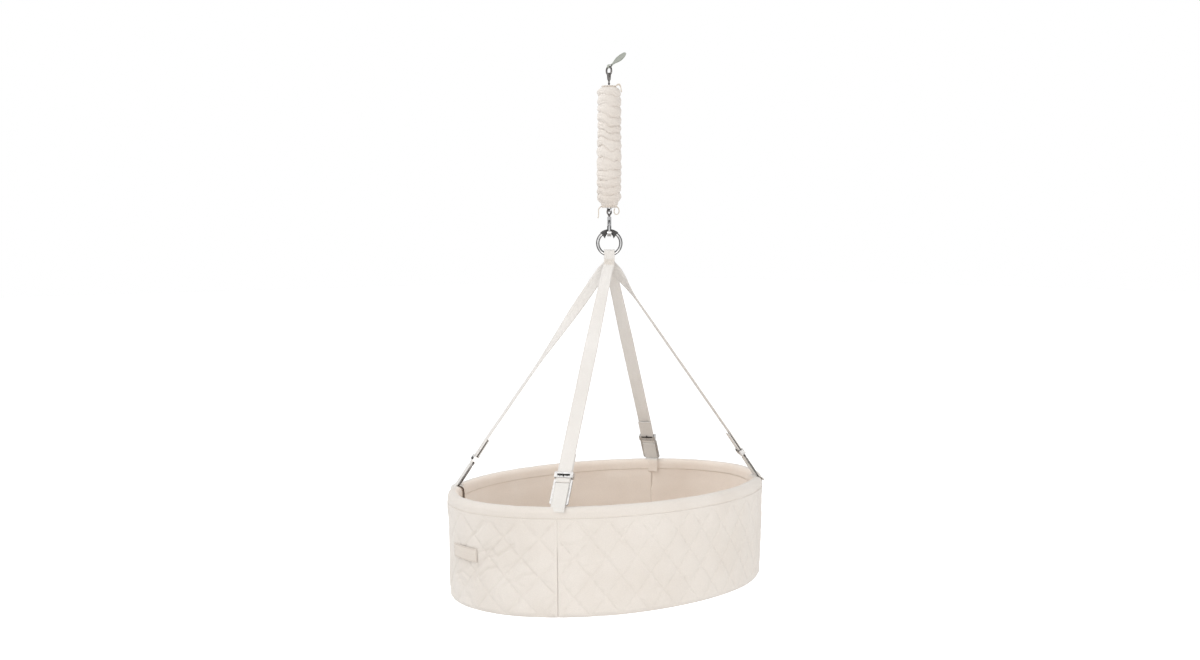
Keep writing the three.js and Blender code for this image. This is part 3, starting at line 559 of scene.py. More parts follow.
label_tape = woven("label_tape", (0.755, 0.695, 0.63), (0.72, 0.655, 0.59), 0.0005, 0.0001)
grey_tape = woven("grey_tape", (0.50, 0.52, 0.46), (0.33, 0.35, 0.31), 0.0022, 0.0006,
                  slant=radians(45))
thread = grainy("thread", (0.84, 0.79, 0.73), (0.74, 0.68, 0.61), 0.8, 1500.0, 0.0001)
label_thread = grainy("label_thread", (0.52, 0.45, 0.37), (0.44, 0.37, 0.30), 0.8, 1500.0, 0.0001)
cord_cotton = grainy("cord_cotton", (0.76, 0.69, 0.61), (0.58, 0.51, 0.43), 0.9, 800.0, 0.0003)
white_foam = grainy("white_foam", (0.88, 0.86, 0.80), (0.80, 0.78, 0.72), 1.0, 500.0, 0.0006)
dark_rubber = grainy("dark_rubber", (0.085, 0.083, 0.083), (0.035, 0.034, 0.034), 0.5, 420.0, 0.0003)
plywood = grainy("plywood", (0.66, 0.50, 0.33), (0.50, 0.36, 0.22), 0.7, 22.0, 0.0002, (1, 14, 1))
gunmetal = plated("gunmetal", (0.17, 0.16, 0.155), (0.07, 0.066, 0.064), 0.24)
# Painted highlight: the brighter nickel laid on the broad faces of the frames and sliders
painted_highlight_nickel = plated("painted_highlight_nickel", (0.62, 0.61, 0.60), (0.50, 0.49, 0.48), 0.26)
blackened = plated("blackened", (0.035, 0.033, 0.032), (0.018, 0.017, 0.017), 0.4)
polished_steel = plated("polished_steel", (0.50, 0.50, 0.505), (0.38, 0.38, 0.385), 0.16)
# The ring's faces along its axis carry a painted highlight, its inner and outer edges a painted dark
# reflection
ring_steel = plated("ring_steel", (0.70, 0.70, 0.70), (0.56, 0.56, 0.56), 0.13,
                    painted_highlight_axis=(-sin(ring_turn), cos(ring_turn), 0))
dull_nickel = plated("dull_nickel", (0.56, 0.55, 0.54), (0.42, 0.41, 0.40), 0.26)
spring_steel = plated("spring_steel", (0.50, 0.50, 0.51), (0.36, 0.36, 0.37), 0.34)


# Camera, at the photograph's viewing angle

view_turn = -0.7149
view_nod = -0.0637
view_roll = 0.0023
view_from = (-2.123, -2.414, -0.365)
camera_data = bpy.data.cameras.new("photo_camera")
camera_data.lens = 44.08
camera_data.sensor_width = 36.0
camera_data.clip_end = 60.0
camera = bpy.data.objects.new("photo_camera", camera_data)
bpy.context.scene.collection.objects.link(camera)
aim = (Matrix.Rotation(view_turn, 3, "Z") @ Matrix.Rotation(view_nod, 3, "X")
       @ Matrix.Rotation(view_roll, 3, "Y"))
right, forward, up = (aim.col[i].copy() for i in range(3))
camera.matrix_world = (Matrix.Translation(view_from)
                       @ Matrix((right, up, -forward)).transposed().to_4x4())
bpy.context.scene.camera = camera


# Cords: the ends of the two drawstrings, tied round the cover's necks

def cord(name, points, exit, body):
    line = bpy.data.curves.new(name, "CURVE")
    line.dimensions = "3D"
    line.bevel_depth = tie_radius
    line.bevel_resolution = 3
    line.resolution_u = 6
    line.use_fill_caps = True
    spline = line.splines.new("NURBS")
    spline.points.add(len(points) - 1)
    for spot, at in zip(spline.points, points):
        spot.co = (*at, 1)
    spline.order_u = 4
    spline.use_endpoint_u = True
    made = bpy.data.objects.new(name, line)
    bpy.context.scene.collection.objects.link(made)
    line.materials.append(cord_cotton)
    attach(made, body)
    bare = line.copy()
    bare.bevel_depth = 0
    probe = bpy.data.objects.new(name + "_line", bare)
    mesh = bpy.data.meshes.new_from_object(probe)
    bpy.data.meshes.remove(mesh)
    bpy.data.objects.remove(probe)
    bpy.data.curves.remove(bare)
    return made


view_right = Vector((0.751, -0.660, 0))
view_near = Vector((-0.660, -0.751, 0))


def seen(x, near, z):
    """A point set out by how far right, how near and how high the photograph shows it."""
    return view_right * x + view_near * near + Vector((0, 0, z))


# Basket wall: two quilted panels, half a diamond apart at their seams

def from_path(u, below, path):
    """How far a place on the panel lies from a crease drawn through points."""
    least = 1.0
    for (u1, b1), (u2, b2) in zip(path, path[1:]):
        if abs(u - u1) + abs(below - b1) > 0.08:
            continue
        along = ((u - u1) * (u2 - u1) + (below - b1) * (b2 - b1)) / ((u2 - u1) ** 2 + (b2 - b1) ** 2)
        along = min(1.0, max(0.0, along))
        least = min(least, hypot(u - mixed(u1, u2, along), below - mixed(b1, b2, along)))
    return least


def slit(below):
    """How far the seam between the panels stands open: shut at the rim, open lower down."""
    return smooth((below - 0.070) / 0.030)


def quilted_panel(name, start, cells, shift, node, creases=()):
    wide = half_run - 2 * seat_gap
    high = panel_bottom - panel_top + panel_tuck
    cell = half_run / cells
    apart = cell * diamond_height / hypot(cell, diamond_height)
    threads = []

    def face(u, below):
        across = u / cell
        down = (below - panel_top) / diamond_height + shift
        near = []
        for way in (1, -1):
            turns = across + way * down
            near.append((abs(turns - round(turns)) * apart, (across - way * down) * apart))
        rise = prod(sin(pi * min(1, away / apart)) for away, _ in near)
        sink = quilt_depth * (1 - rise ** 0.40)
        for away, along in near:
            pull = exp(-away / pull_reach)
            gather = uneven(along * 120, away * 30, shift * 7)
            sink += 0.0009 * pull * gather + 0.0006 * exp(-(away / groove_half) ** 2)
        loose = uneven(u * 9, below * 11, 3.1 + shift)
        sag = uneven(u * 24, below * 17, 8.7 + shift)
        crush = abs(uneven(u * 19 + below * 7, below * 26, 1.7 + shift))
        where = smooth(uneven(u * 5, below * 6, 12.3 + shift) + 0.45)
        sink -= 0.0022 * loose + 0.0011 * sag
        sink += 0.0016 * where * exp(-crush / 0.055)
        for crease in creases:
            sink += crease_depth * exp(-(from_path(u, below, crease) / crease_half) ** 2)
        seam = min(u, wide - u)
        sink = mixed(edge_sunk + 0.0001, sink, smooth((below - panel_top) / 0.014))
        sink = mixed(quilt_depth + 0.0022, sink, smooth((panel_bottom - below) / 0.008))
        sink = mixed(seam_sunk, sink, smooth(seam / 0.011))
        return max(0.0, sink) + mixed(0.0001, 0.0010, slit(below)) * (1 - smooth(seam / 0.0020)) ** 2

    def place(u, v):
        below = panel_bottom - v
        closing = seat_gap * (1 - 0.4 * slit(below)) * (2 * u / wide - 1)
        return on_oval(start + seat_gap + u + closing, face(u, below), below)

    mesh = cloth_grid(520, 94, wide, high, place)
    made = finished(name, mesh, "basket", quilted_cotton, [node], panel_thick)

    step = stitch_pitch / hypot(cell, diamond_height)
    for way in (1, -1):
        for line in range(-4, cells + 5):
            count = int(3.2 / step)
            for i in range(count):
                down = i * step
                across = line - way * down if way > 0 else line + down
                below = panel_top + (down - shift) * diamond_height
                u = across * cell
                if not (panel_top + 0.003 < below < panel_bottom - 0.002 and 0.002 < u < wide - 0.002):
                    continue
                ahead = 0.0015
                u2, below2 = u - way * ahead * cell / diamond_height, below + ahead
                a = on_oval(start + seat_gap + u, face(u, below) - 0.0001, below)
                b = on_oval(start + seat_gap + u2, face(u2, below2) - 0.0001, below2)
                out = Vector((a.x / half_length ** 2, a.y / half_width ** 2, 0))
                threads.append((a, b - a, out))
    stitched(name + "_stitches", threads)


quilted_panel("label_end_panel", seam_run, label_end_cells, 0.0, "outer_panel_label_end",
              label_creases)
quilted_panel("plain_end_panel", seam_run + half_run, plain_end_cells, 0.5, "outer_panel_plain_end")


# Rim binding, folded over the foam wall and the rod

def binding_point(run, along, proud=0.0):
    """A point on the binding, counted along its fold from its outer edge to its inner edge."""
    puff = 0.0006 * uneven(run * 21, along * 40, 5.5)
    puff += 0.0005 * uneven(run * 75, along * 25, 1.5)
    edge = min(along, 2 * binding_outside + binding_over - along)
    radius = roll_radius + puff + proud - edge_sunk * (1 - smooth(edge / 0.004))
    if along < binding_outside:
        return on_oval(run, roll_centre - radius, binding_drop - along)
    if along < binding_outside + binding_over:
        turn = (along - binding_outside) / roll_radius
        return on_oval(run, roll_centre - radius * cos(turn), roll_radius - radius * sin(turn))
    return on_oval(run, roll_centre + radius, roll_radius + along - binding_outside - binding_over)


binding_cut = 2 * binding_outside + binding_over
binding = finished(
    "rim_binding_cloth",
    cloth_grid(760, 30, oval_run, binding_cut, lambda u, v: binding_point(seam_run + u, v), True),
    "basket", rim_cotton, ["rim_binding"], binding_thick)

runs = [i * stitch_pitch for i in range(int(oval_run / stitch_pitch))]
stitched("binding_topstitch", [
    (binding_point(run, along, 0.0001),
     binding_point(run + 0.001, along) - binding_point(run, along),
     binding_point(run, along, 0.002) - binding_point(run, along))
    for run in runs for along in (topstitch_in, binding_cut - topstitch_in)])


# Lining, slack in soft level folds

def lining_panel(name, start, node):
    wide = half_run - 2 * seat_gap
    high = floor_below - panel_top + 0.004

    def place(u, v):
        below = floor_below - v
        fold = uneven(u * 5.0, below * 21, start)
        pull = uneven(u * 17 + below * 9, below * 34, start + 4)
        seam = exp(-min(u, wide - u) / 0.0035)
        top = smooth((below - panel_top) / 0.02)
        slack = 0.0024 + 0.0030 * fold + 0.0010 * pull
        inward = lining_out + lining_thick + mixed(lining_tucked, slack, top)
        closing = (seat_gap + 0.0004) * (1 - 2 * u / wide)
        return on_oval(start + seat_gap + wide - u + closing, inward - 0.0002 * seam, below)

    made = finished(name, cloth_grid(300, 60, wide, high, place), "basket",
                    lining_cotton, [node], lining_cloth_thick)


lining_panel("label_end_lining", seam_run, "lining_label_end")
lining_panel("plain_end_lining", seam_run + half_run, "lining_plain_end")


# Wadding inside the wall

foam_high = foam_bottom - foam_top


def wadding_point(u, v):
    sides = [(foam_out, foam_top), (foam_out, foam_bottom), (foam_in, foam_bottom), (foam_in, foam_top)]
    lengths = [foam_high, foam_in - foam_out] * 2
    rest = v % sum(lengths)
    i = 0
    while rest > lengths[i]:
        rest -= lengths[i]
        i += 1
    a, b = sides[i], sides[(i + 1) % 4]
    share = rest / lengths[i]
    return on_oval(seam_run + u, mixed(a[0], b[0], share), mixed(a[1], b[1], share))


around = 2 * (foam_high + foam_in - foam_out)
wadding = finished(
    "wall_wadding",
    faced_out(cloth_grid(180, 56, oval_run, around, wadding_point, True)),
    "basket", white_foam, ["wall_foam"])


# Floor: the base cover below, its lining above

def oval_cloth(u, v, long, across):
    """A square cut of cloth carried evenly onto an oval, with how near its edge the point is."""
    s, t = u / long - 1, v / across - 1
    x, y = s * sqrt(1 - t * t / 2), t * sqrt(1 - s * s / 2)
    return x * long, y * across, hypot(x, y)


base_long = half_length - base_in - wall_taper
base_across = half_width - base_in - wall_taper


def base_point(u, v):
    x, y, out = oval_cloth(u, v, base_long, base_across)
    ripple = uneven(x * 12, y * 12, 2.0) * 0.0006 * (1 - out)
    rise = 0.0034 * smooth((out - 0.985) / 0.015)
    return Vector((x, y, -rim_drop - wall_height + 0.0006 + ripple + rise))


def flipped(mesh):
    bmesh.ops.reverse_faces(mesh, faces=mesh.faces)
    return mesh


base = finished("base_cloth", flipped(cloth_grid(96, 72, 2 * base_long, 2 * base_across, base_point)),
                "basket", quilted_cotton, ["base_cover"], base_cloth_thick)
stitched("base_stitches", [
    (on_oval(run, base_seam_in, wall_height - 0.0004), on_oval(run + 0.001, base_seam_in, wall_height)
     - on_oval(run, base_seam_in, wall_height), Vector((0, 0, -1)))
    for run in runs])

floor_long = half_length - floor_in
floor_across = half_width - floor_in


def floor_point(u, v):
    x, y = oval_cloth(u, v, floor_long, floor_across)[:2]
    ripple = 0.0003 * uneven(x * 20, y * 20, 6)
    return Vector((x, y, -rim_drop - floor_cloth_below + ripple))


floor_cloth = finished("floor_lining_cloth",
                       cloth_grid(64, 48, 2 * floor_long, 2 * floor_across, floor_point),
                       "basket", lining_cotton, ["floor_lining"], floor_cloth_thick)


# Mattress: a stuffed pad, blown up as cloth, with a seam round its waist

def mesh_now(thing):
    shown = thing.evaluated_get(bpy.context.evaluated_depsgraph_get())
    return bpy.data.meshes.new_from_object(shown)


def stuffed_mattress():
    mesh = bmesh.new()
    mesh.from_mesh(frame["nodes"]["mattress"].data)
    bmesh.ops.remove_doubles(mesh, verts=mesh.verts, dist=0.00002)
    centre = -rim_drop - (mattress_top + mattress_bottom) / 2
    for vert in mesh.verts:
        vert.co.x *= mattress_start[0]
        vert.co.y *= mattress_start[1]
        vert.co.z = centre + (vert.co.z - centre) * mattress_start[2]
    made = finished("mattress_pad", mesh, None, mattress_cotton)
    grid = made.modifiers.new("even cloth", "REMESH")
    grid.mode = "VOXEL"
    grid.voxel_size = mattress_voxel
    made.data = mesh_now(made)
    made.modifiers.clear()
    before = np.zeros(len(made.data.vertices) * 3)
    made.data.vertices.foreach_get("co", before)
    cloth = made.modifiers.new("stuffing", "CLOTH")
    cloth.settings.use_pressure = True
    cloth.settings.uniform_pressure_force = 4
    cloth.settings.effector_weights.gravity = 0
    cloth.settings.tension_stiffness = 25
    cloth.settings.bending_stiffness = 1.5
    cloth.point_cache.frame_end = stuffing_steps
    for step in range(1, stuffing_steps + 1):
        bpy.context.scene.frame_set(step)
    swollen = mesh_now(made)
    made.modifiers.clear()
    after = np.zeros(len(before))
    swollen.vertices.foreach_get("co", after)
    moved = (after - before).reshape(-1, 3)
    far = np.linalg.norm(moved, axis=1, keepdims=True)
    moved *= np.minimum(1, most_swelling / np.maximum(far, 1e-9))
    made.data.vertices.foreach_set("co", (before.reshape(-1, 3) + moved).ravel())
    bpy.data.meshes.remove(swollen)
    bpy.context.scene.frame_set(1)
    low = -rim_drop - mattress_bottom
    for vert in made.data.vertices:
        at = vert.co
        seam = exp(-((at.z - centre) / 0.0022) ** 2)
        shrink = 1 - 0.0045 * seam
        dimple = 0.0016 * uneven(at.x * 15, at.y * 15, at.z * 20)
        out = Vector((at.x / half_length, at.y / half_width, 0)).length
        at.x *= shrink
        at.y *= shrink
        at.z = max(low + 0.0002, at.z + dimple * (1 if at.z > centre else 0) * (1 - out * out))
    made.data.shade_smooth()
    made.data.materials.clear()
    made.data.materials.append(mattress_cotton)
    soft = made.modifiers.new("rounding", "SUBSURF")
    soft.levels = soft.render_levels = 1
    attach(made, "mattress")
    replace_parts(made, "mattress")
    return centre


waist = stuffed_mattress()
piping_path = [on_oval(seam_run + oval_run * i / 240, piping_in, 0) for i in range(240)]
for at in piping_path:
    at.z = waist
piping = closed_rod(piping_path, piping_radius, 10)
finished("mattress_piping", piping, "mattress", lining_cotton)


# Bare label patch, sewn down on the near end

def label_point(u, v, proud=0.0):
    curl = 0.0006 * (abs(2 * u / label_wide - 1) ** 8 + abs(2 * v / label_high - 1) ** 8)
    wave = 0.0005 * uneven(u * 45, v * 60, 9)
    rib = 0.0003 * exp(-((v - label_high / 2) / 0.0012) ** 2)
    return on_oval(half_run - label_shift - label_wide / 2 + u, -0.0012 - proud - wave + curl * 0.5 + rib,
                   label_drop + label_high / 2 - v)


label = finished("bare_label", cloth_grid(52, 26, label_wide, label_high, label_point), "basket",
                 label_tape, ["label_patch"], label_thick)
label_inset = 0.0022
label_pitch = 0.003
border = []


def sew_label(u, v, du, dv):
    border.append((label_point(u, v, 0.0001), label_point(u + du, v + dv) - label_point(u, v),
                   Vector((-1, 0, 0))))


for i in range(int((label_wide - 2 * label_inset) / label_pitch)):
    for v in (label_inset, label_high - label_inset):
        sew_label(label_inset + i * label_pitch, v, 0.001, 0)
for i in range(int((label_high - 2 * label_inset) / label_pitch)):
    for u in (label_inset, label_wide - label_inset):
        sew_label(u, label_inset + i * label_pitch, 0, 0.001)
stitched("label_stitches", border, label_stitch, fine_thread, label_thread)


# Ring and its cuff

ring_mesh = bmesh.new()
torus(ring_mesh, (0, 0, -ring_drop), ring_turn, ring_radius, ring_radius, ring_wire, 96, 24)
finished("hanging_ring", faced_out(ring_mesh), "basket", ring_steel, ["ring"])

ring_across = Vector((cos(ring_turn), sin(ring_turn), 0))
ring_behind = Vector((-sin(ring_turn), cos(ring_turn), 0))
cuff_bore = ring_wire + seat_gap
cuff_long = 2 * sleeve_spread * ring_radius


def cuff_point(u, v):
    lean = mixed(-sleeve_spread, sleeve_spread, u / cuff_long)
    beyond = max(0.0, abs(2 * u / cuff_long - 1) - 0.35) / 0.65
    angle = v / cuff_bore
    inner = max(0.0, -cos(angle)) * sleeve_swell * beyond
    pinch = 0.0003 * uneven(u * 300, cos(angle) * 2, sin(angle) * 2)
    radius = cuff_bore + sleeve_thick + inner + pinch
    reach = ring_radius + radius * cos(angle)
    return (ring_across * reach * sin(lean) + ring_behind * radius * sin(angle)
            + Vector((0, 0, reach * cos(lean) - ring_drop)))


cuff_mesh = faced_out(cloth_grid(56, 32, cuff_long, tau * cuff_bore, cuff_point, True))
finished("ring_cuff", cuff_mesh, "basket", dark_rubber, ["ring_sleeve"], sleeve_thick)


# Webbing: two lengths, each down one leg and down the opposite one

ring_inside = ring_radius - ring_wire
fold_rise = ring_inside - sqrt(ring_inside ** 2 - (webbing_gathered / 2) ** 2)
wire_height = -ring_drop - ring_radius + fold_rise
corner_x = (half_length - roll_centre) * cos(seam_angle)
corner_y = (half_width - roll_centre) * sin(seam_angle)
bar_centre = frame_rise + frame_length - frame_bar / 2
wrap_gap = frame_thick / 2 + seat_gap + webbing_thick / 2
wrap_out = wrap_gap + webbing_thick / 2
tab_bend_at = bar_centre - frame_bar / 2 + seat_gap - 2 * wrap_out - run_gap


class Corner:
    """One corner's directions: up its leg, across the webbing and square to it."""

    def __init__(self, sign_x, sign_y, run):
        self.run = run
        self.foot = Vector((sign_x * corner_x, sign_y * corner_y, -rim_drop))
        self.up = (Vector((0, 0, wire_height)) - self.foot).normalized()
        self.across = Vector((-self.foot.y, self.foot.x, 0)).normalized()
        self.facing = self.up.cross(self.across)
        if self.facing.z < 0:
            self.facing = -self.facing

    def at(self, along, out):
        return self.foot + self.up * along + self.facing * out


leg_steps = 56


def leg(site, start, first_across, untwist):
    """Stations of one leg: from its fold over the ring, down, round the frame bar and back up."""
    low = site.at(bar_centre + doubled_length, wrap_gap)
    first = atan2(first_across.y, first_across.x)
    turn = atan2(site.across.y, site.across.x) - first
    turn -= round(turn / pi) * pi
    length = (low - start).length
    parting = Vector((start.x, start.y, start.z - sewn_length))
    made = []
    for i in range(1, leg_steps + 1):
        share = (i / leg_steps) ** 1.5
        height = mixed(start.z, low.z, share)
        beyond = max(0.0, (parting.z - height) / (parting.z - low.z))
        run = max(0.0, length * share - sewn_length)
        straight = parting.lerp(low, beyond)
        straight.z = height
        upright = Vector((start.x, start.y, height))
        centre = upright.lerp(straight, max(smooth(run / leg_bend), share))
        angle = first + turn * smooth(run / untwist)
        side = Vector((cos(angle), sin(angle), 0))
        along = (centre - (made[-1][0] if made else start)).normalized()
        square = (side - along * side.dot(along)).normalized()
        wide = mixed(webbing_gathered, webbing_width, smooth(run / widen_length))
        made.append((centre, square, along.cross(square), wide))
    flip = -1 if made[-1][1].dot(site.across) < 0 else 1
    side = site.across * flip
    bend_low = bar_centre - frame_bar / 2 + seat_gap
    for i in range(17):
        angle = pi * i / 16
        out = site.facing * cos(angle) - site.up * sin(angle)
        made.append((site.at(bend_low, 0) + out * wrap_gap, side, out * flip, webbing_width))
    end = bar_centre + doubled_length
    for i in range(1, 13):
        along = mixed(bend_low, end, i / 12)
        made.append((site.at(along, -wrap_gap), side, site.facing * -flip, webbing_width))
    return made


def webbing(name, site_a, site_b, layer, untwists, node):
    radius = ring_wire + seat_gap + webbing_thick / 2 + layer * (webbing_thick + run_gap)
    top = Vector((0, 0, wire_height))
    first = leg(site_a, top - ring_behind * radius, ring_across, untwists[0])
    second = leg(site_b, top + ring_behind * radius, -ring_across, untwists[1])
    fold = []
    for i in range(17):
        angle = pi * i / 16
        out = Vector((0, 0, sin(angle))) - ring_behind * cos(angle)
        fold.append((top + out * radius, ring_across, out, webbing_gathered))
    chain = [list(s) for s in first[::-1] + fold + second]
    middle = len(first) + 8
    for step, outward in ((1, range(middle + 1, len(chain))), (-1, range(middle - 1, -1, -1))):
        for i in outward:
            before = chain[i - step]
            if chain[i][1].dot(before[1]) < 0:
                chain[i][1] = -chain[i][1]
            along = (chain[i][0] - before[0]).normalized()
            if chain[i][2].dot(before[2] - along * before[2].dot(along)) < 0:
                chain[i][2] = -chain[i][2]
    strap(name, chain, "basket", webbing_cotton, "webbing", [node], webbing_thick)
    return name, chain, lengths_along(chain), middle


def lengths_along(chain):
    lengths = [0.0]
    for a, b in zip(chain, chain[1:]):
        lengths.append(lengths[-1] + (b[0] - a[0]).length)
    return lengths


def webbing_wave(share, wide, run, seed, ripple=0.0003):
    """How far webbing stands off its flat line: gathered at the ring, rippled all along."""
    gather = 1 - (wide - webbing_gathered) / (webbing_width - webbing_gathered)
    return (0.0004 * gather * cos(share * 5 * pi)
            + ripple * uneven(share * 3, run * 30, seed))


def strap(name, chain, body, finish, slot, replaces, thick, ripple=0.0003):
    """Flat tape through stations of place, width direction, facing and width."""
    lengths = lengths_along(chain)
    mesh = bmesh.new()
    cut = mesh.loops.layers.uv.new("cut")
    rows, columns = len(chain) - 1, 10
    bmesh.ops.create_grid(mesh, x_segments=columns, y_segments=rows, size=0.5)
    for face in mesh.faces:
        for loop in face.loops:
            at = loop.vert.co
            i = round((at.y + 0.5) * rows)
            loop[cut].uv = (at.x * chain[i][3], lengths[i])
    for vert in mesh.verts:
        i = round((vert.co.y + 0.5) * rows)
        share = vert.co.x
        centre, side, facing, wide = chain[i]
        full = wide if slot == "webbing" else webbing_width
        wave = webbing_wave(share, full, lengths[i], len(name), ripple)
        vert.co = centre + side * (share * wide) + facing * wave
    finished(name, mesh, body, finish, replaces, thick, 0)


corners = {
    "front": Corner(-1, -1, seam_run + half_run),
    "back": Corner(1, 1, seam_run),
    "left": Corner(-1, 1, half_run - seam_run),
    "right": Corner(1, -1, oval_run - seam_run),
}
side_webbing = webbing("side_webbing", corners["left"], corners["right"], 0,
                       (left_untwist, right_untwist), "webbing_left_right")
front_back_webbing = webbing("front_back_webbing", corners["front"], corners["back"], 1,
                             (front_back_untwist, front_back_untwist), "webbing_front_back")


def on_chain(chain, lengths, run):
    """Place, width direction, facing and width that far along a strap."""
    i = min(len(chain) - 2, max(0, int(np.searchsorted(lengths, run)) - 1))
    share = (run - lengths[i]) / (lengths[i + 1] - lengths[i])
    a, b = chain[i], chain[i + 1]
    return (a[0].lerp(b[0], share), a[1].lerp(b[1], share).normalized(),
            a[2].lerp(b[2], share).normalized(), mixed(a[3], b[3], share))


tack_pitch = 0.0013
tack_long = 0.0031
tack_step = 0.0014
tack_below_ring = 0.0245
tack_places = []


def bar_tack(name, chain, lengths, start, rows, sides=(1,)):
    """Close rows of zigzag stitches across a strap, from a run along it."""
    for row in range(rows):
        run = start + row * tack_pitch
        at, side, facing, wide = on_chain(chain, lengths, run)
        ahead = (on_chain(chain, lengths, run + 0.001)[0] - at).normalized()
        count = int(wide * 0.9 / tack_step)
        for column in range(count):
            share = ((column + 0.5) / count - 0.5) * 0.92
            lean = ahead * (tack_step / 2 if column % 2 else -tack_step / 2)
            wave = webbing_wave(share, wide, run, len(name))
            for way in sides:
                out = facing * (wave + way * (webbing_thick / 2 + 0.0001))
                tack_places.append((at + side * (share * wide) + out, side * tack_step + lean,
                                    facing * way))


name, chain, lengths, middle = front_back_webbing
for way in (-1, 1):
    start = lengths[middle] + way * tack_below_ring - (9 * tack_pitch if way < 0 else 0)
    bar_tack(name, chain, lengths, start, 10)
for name, chain, lengths, middle in (front_back_webbing, side_webbing):
    for run in (0.0012, lengths[-1] - 0.0025):
        bar_tack(name, chain, lengths, run, 2, (1, -1))
stitched("webbing_stitches", tack_places, tack_long, fine_thread)


# Rim tabs: webbing up from the rim, round each frame's middle bar and back down


def rim_tab(name, site, node):
    chain = []

    def add(at, facing):
        chain.append((at, site.across, facing.normalized(), webbing_width))

    def curve(start, bend, end, face_a, face_b, steps):
        for i in range(1, steps):
            share = i / steps
            add(start * (1 - share) ** 2 + bend * (2 * share * (1 - share)) + end * share ** 2,
                face_a.lerp(face_b, share))

    inwards = Vector((-site.foot.x, -site.foot.y, 0)).normalized()
    rise = Vector((0, 0, 1))
    lie = roll_radius + webbing_thick / 2 + 0.0003
    tail_end = on_oval(site.run, roll_centre + lie, roll_radius + tab_tail)
    shoulder = on_oval(site.run, roll_centre + lie, roll_radius)
    for i in range(9):
        add(tail_end.lerp(shoulder, i / 8), inwards)
    inner_foot = site.at(tab_straight, -wrap_gap)
    curve(shoulder, shoulder + rise * 0.013, inner_foot, inwards, -site.facing, 9)
    for i in range(15):
        add(site.at(mixed(tab_straight, tab_bend_at, i / 14), -wrap_gap), -site.facing)
    for i in range(1, 12):
        angle = pi * i / 12
        way = site.facing * -cos(angle) + site.up * sin(angle)
        add(site.at(tab_bend_at, 0) + way * wrap_gap, way)
    for i in range(15):
        add(site.at(mixed(tab_bend_at, tab_straight, i / 14), wrap_gap), site.facing)
    outer_foot = site.at(tab_straight, wrap_gap)

    def over_roll(angle):
        return on_oval(site.run, roll_centre - lie * cos(angle), roll_radius - lie * sin(angle))

    brow = over_roll(tab_brow)
    curve(outer_foot, outer_foot - site.up * 0.004, brow, site.facing, (rise - inwards), 5)
    for i in range(7):
        angle = tab_brow - tab_foot / lie * i / 6
        add(over_roll(angle), rise * sin(angle) - inwards * cos(angle))
    strap(name, chain, "basket", tab_cotton, "webbing", [node], webbing_thick, 0.0)
    lengths = lengths_along(chain)
    places = []

    def sew(run, across, along_webbing=0.0):
        at, side, facing = on_chain(chain, lengths, run)[:3]
        ahead = (on_chain(chain, lengths, run + 0.001)[0] - at).normalized()
        lead = side * (1 - abs(along_webbing)) + ahead * along_webbing
        places.append((at + side * across + facing * (webbing_thick / 2 + 0.0001), lead, facing))

    half = 0.011
    for low, high in ((0.004, 0.024), (lengths[-1] - 0.0085, lengths[-1] - 0.0015)):
        for i in range(13):
            share = i / 12
            run = mixed(low, high, share)
            across = mixed(-half, half, share)
            sew(low, across)
            sew(high, across)
            sew(run, -half, 1.0)
            sew(run, half, 1.0)
            if high - low > 0.01:
                sew(run, across, 0.48)
                sew(run, -across, -0.48)
    stitched(name + "_stitches", places, tab_stitch, tab_thread)


for side, site in corners.items():
    rim_tab(f"{side}_rim_tab", site, f"rim_tab_{side}")


# Frames and sliders: cast, with a painted highlight on their broad faces and darker edges

slider_low = frame_rise + frame_length + slider_clear
slider_out = wrap_gap + webbing_thick / 2 + run_gap + slider_thick / 2


def comb(name, site, body, way, height, teeth):
    """The slider's dark toothed grip, across its outer or its inner face."""
    mesh = bmesh.new()
    bmesh.ops.create_cube(mesh, size=1, matrix=Matrix.Diagonal((0.0270, 0.0026, 0.0007, 1)))
    for i, long in enumerate(teeth):
        shape = Matrix.Diagonal((0.0026, long, 0.0009, 1))
        across = (i - (len(teeth) - 1) / 2) * 0.0038
        place = Matrix.Translation((across, -way * (0.0012 + long / 2), 0.0001))
        bmesh.ops.create_cube(mesh, size=1, matrix=place @ shape)
    rims = [e for e in mesh.edges if e.calc_face_angle(0) > 1]
    bmesh.ops.bevel(mesh, geom=rims, offset=0.00015, segments=1, profile=0.5, affect="EDGES",
                    material=-1)
    facing = site.facing * way
    turn = Matrix((site.up.cross(facing), site.up, facing)).transposed().to_4x4()
    at = site.at(slider_low + height, way * (slider_out + 0.0003))
    bmesh.ops.transform(mesh, matrix=Matrix.Translation(at) @ turn, verts=mesh.verts)
    finished(name, faced_out(mesh), body, blackened)


for side, site in corners.items():
    eased_copy(f"{side}_frame", f"frame_{side}", gunmetal, 0.0011, painted_highlight=site.facing)
    eased_copy(f"{side}_slider", f"slider_{side}", dull_nickel, 0.00035, painted_highlight=site.facing)
    comb(f"{side}_outer_comb", site, f"slider_{side}", 1, 0.0062,
         (0.0014, 0.0024, 0.0014, 0.0034, 0.0014, 0.0024, 0.0014))
    comb(f"{side}_inner_comb", site, f"slider_{side}", -1, 0.0100, (0.0042,))


# Eye, swivels, hooks and the snap hook

across_basket = pi / 2
wire_radius = 0.0019
plug_radius = 0.01374


def loop_and_posts(name, body, node, slot, drop, turn, posts, wide=0.0055, high=0.0055,
                   wire=wire_radius):
    """One piece of metal: a closed loop of wire, and round posts from a low to a high end."""
    mesh = bmesh.new()
    torus(mesh, (0, 0, -drop), turn, wide, high, wire)
    for radius, low_end, high_end, settings in posts:
        barrel(mesh, radius, low_end, high_end, **settings)
    finish = {"gunmetal": gunmetal, "spring_steel": spring_steel}[slot]
    finished(name, faced_out(mesh), body, finish, [node])


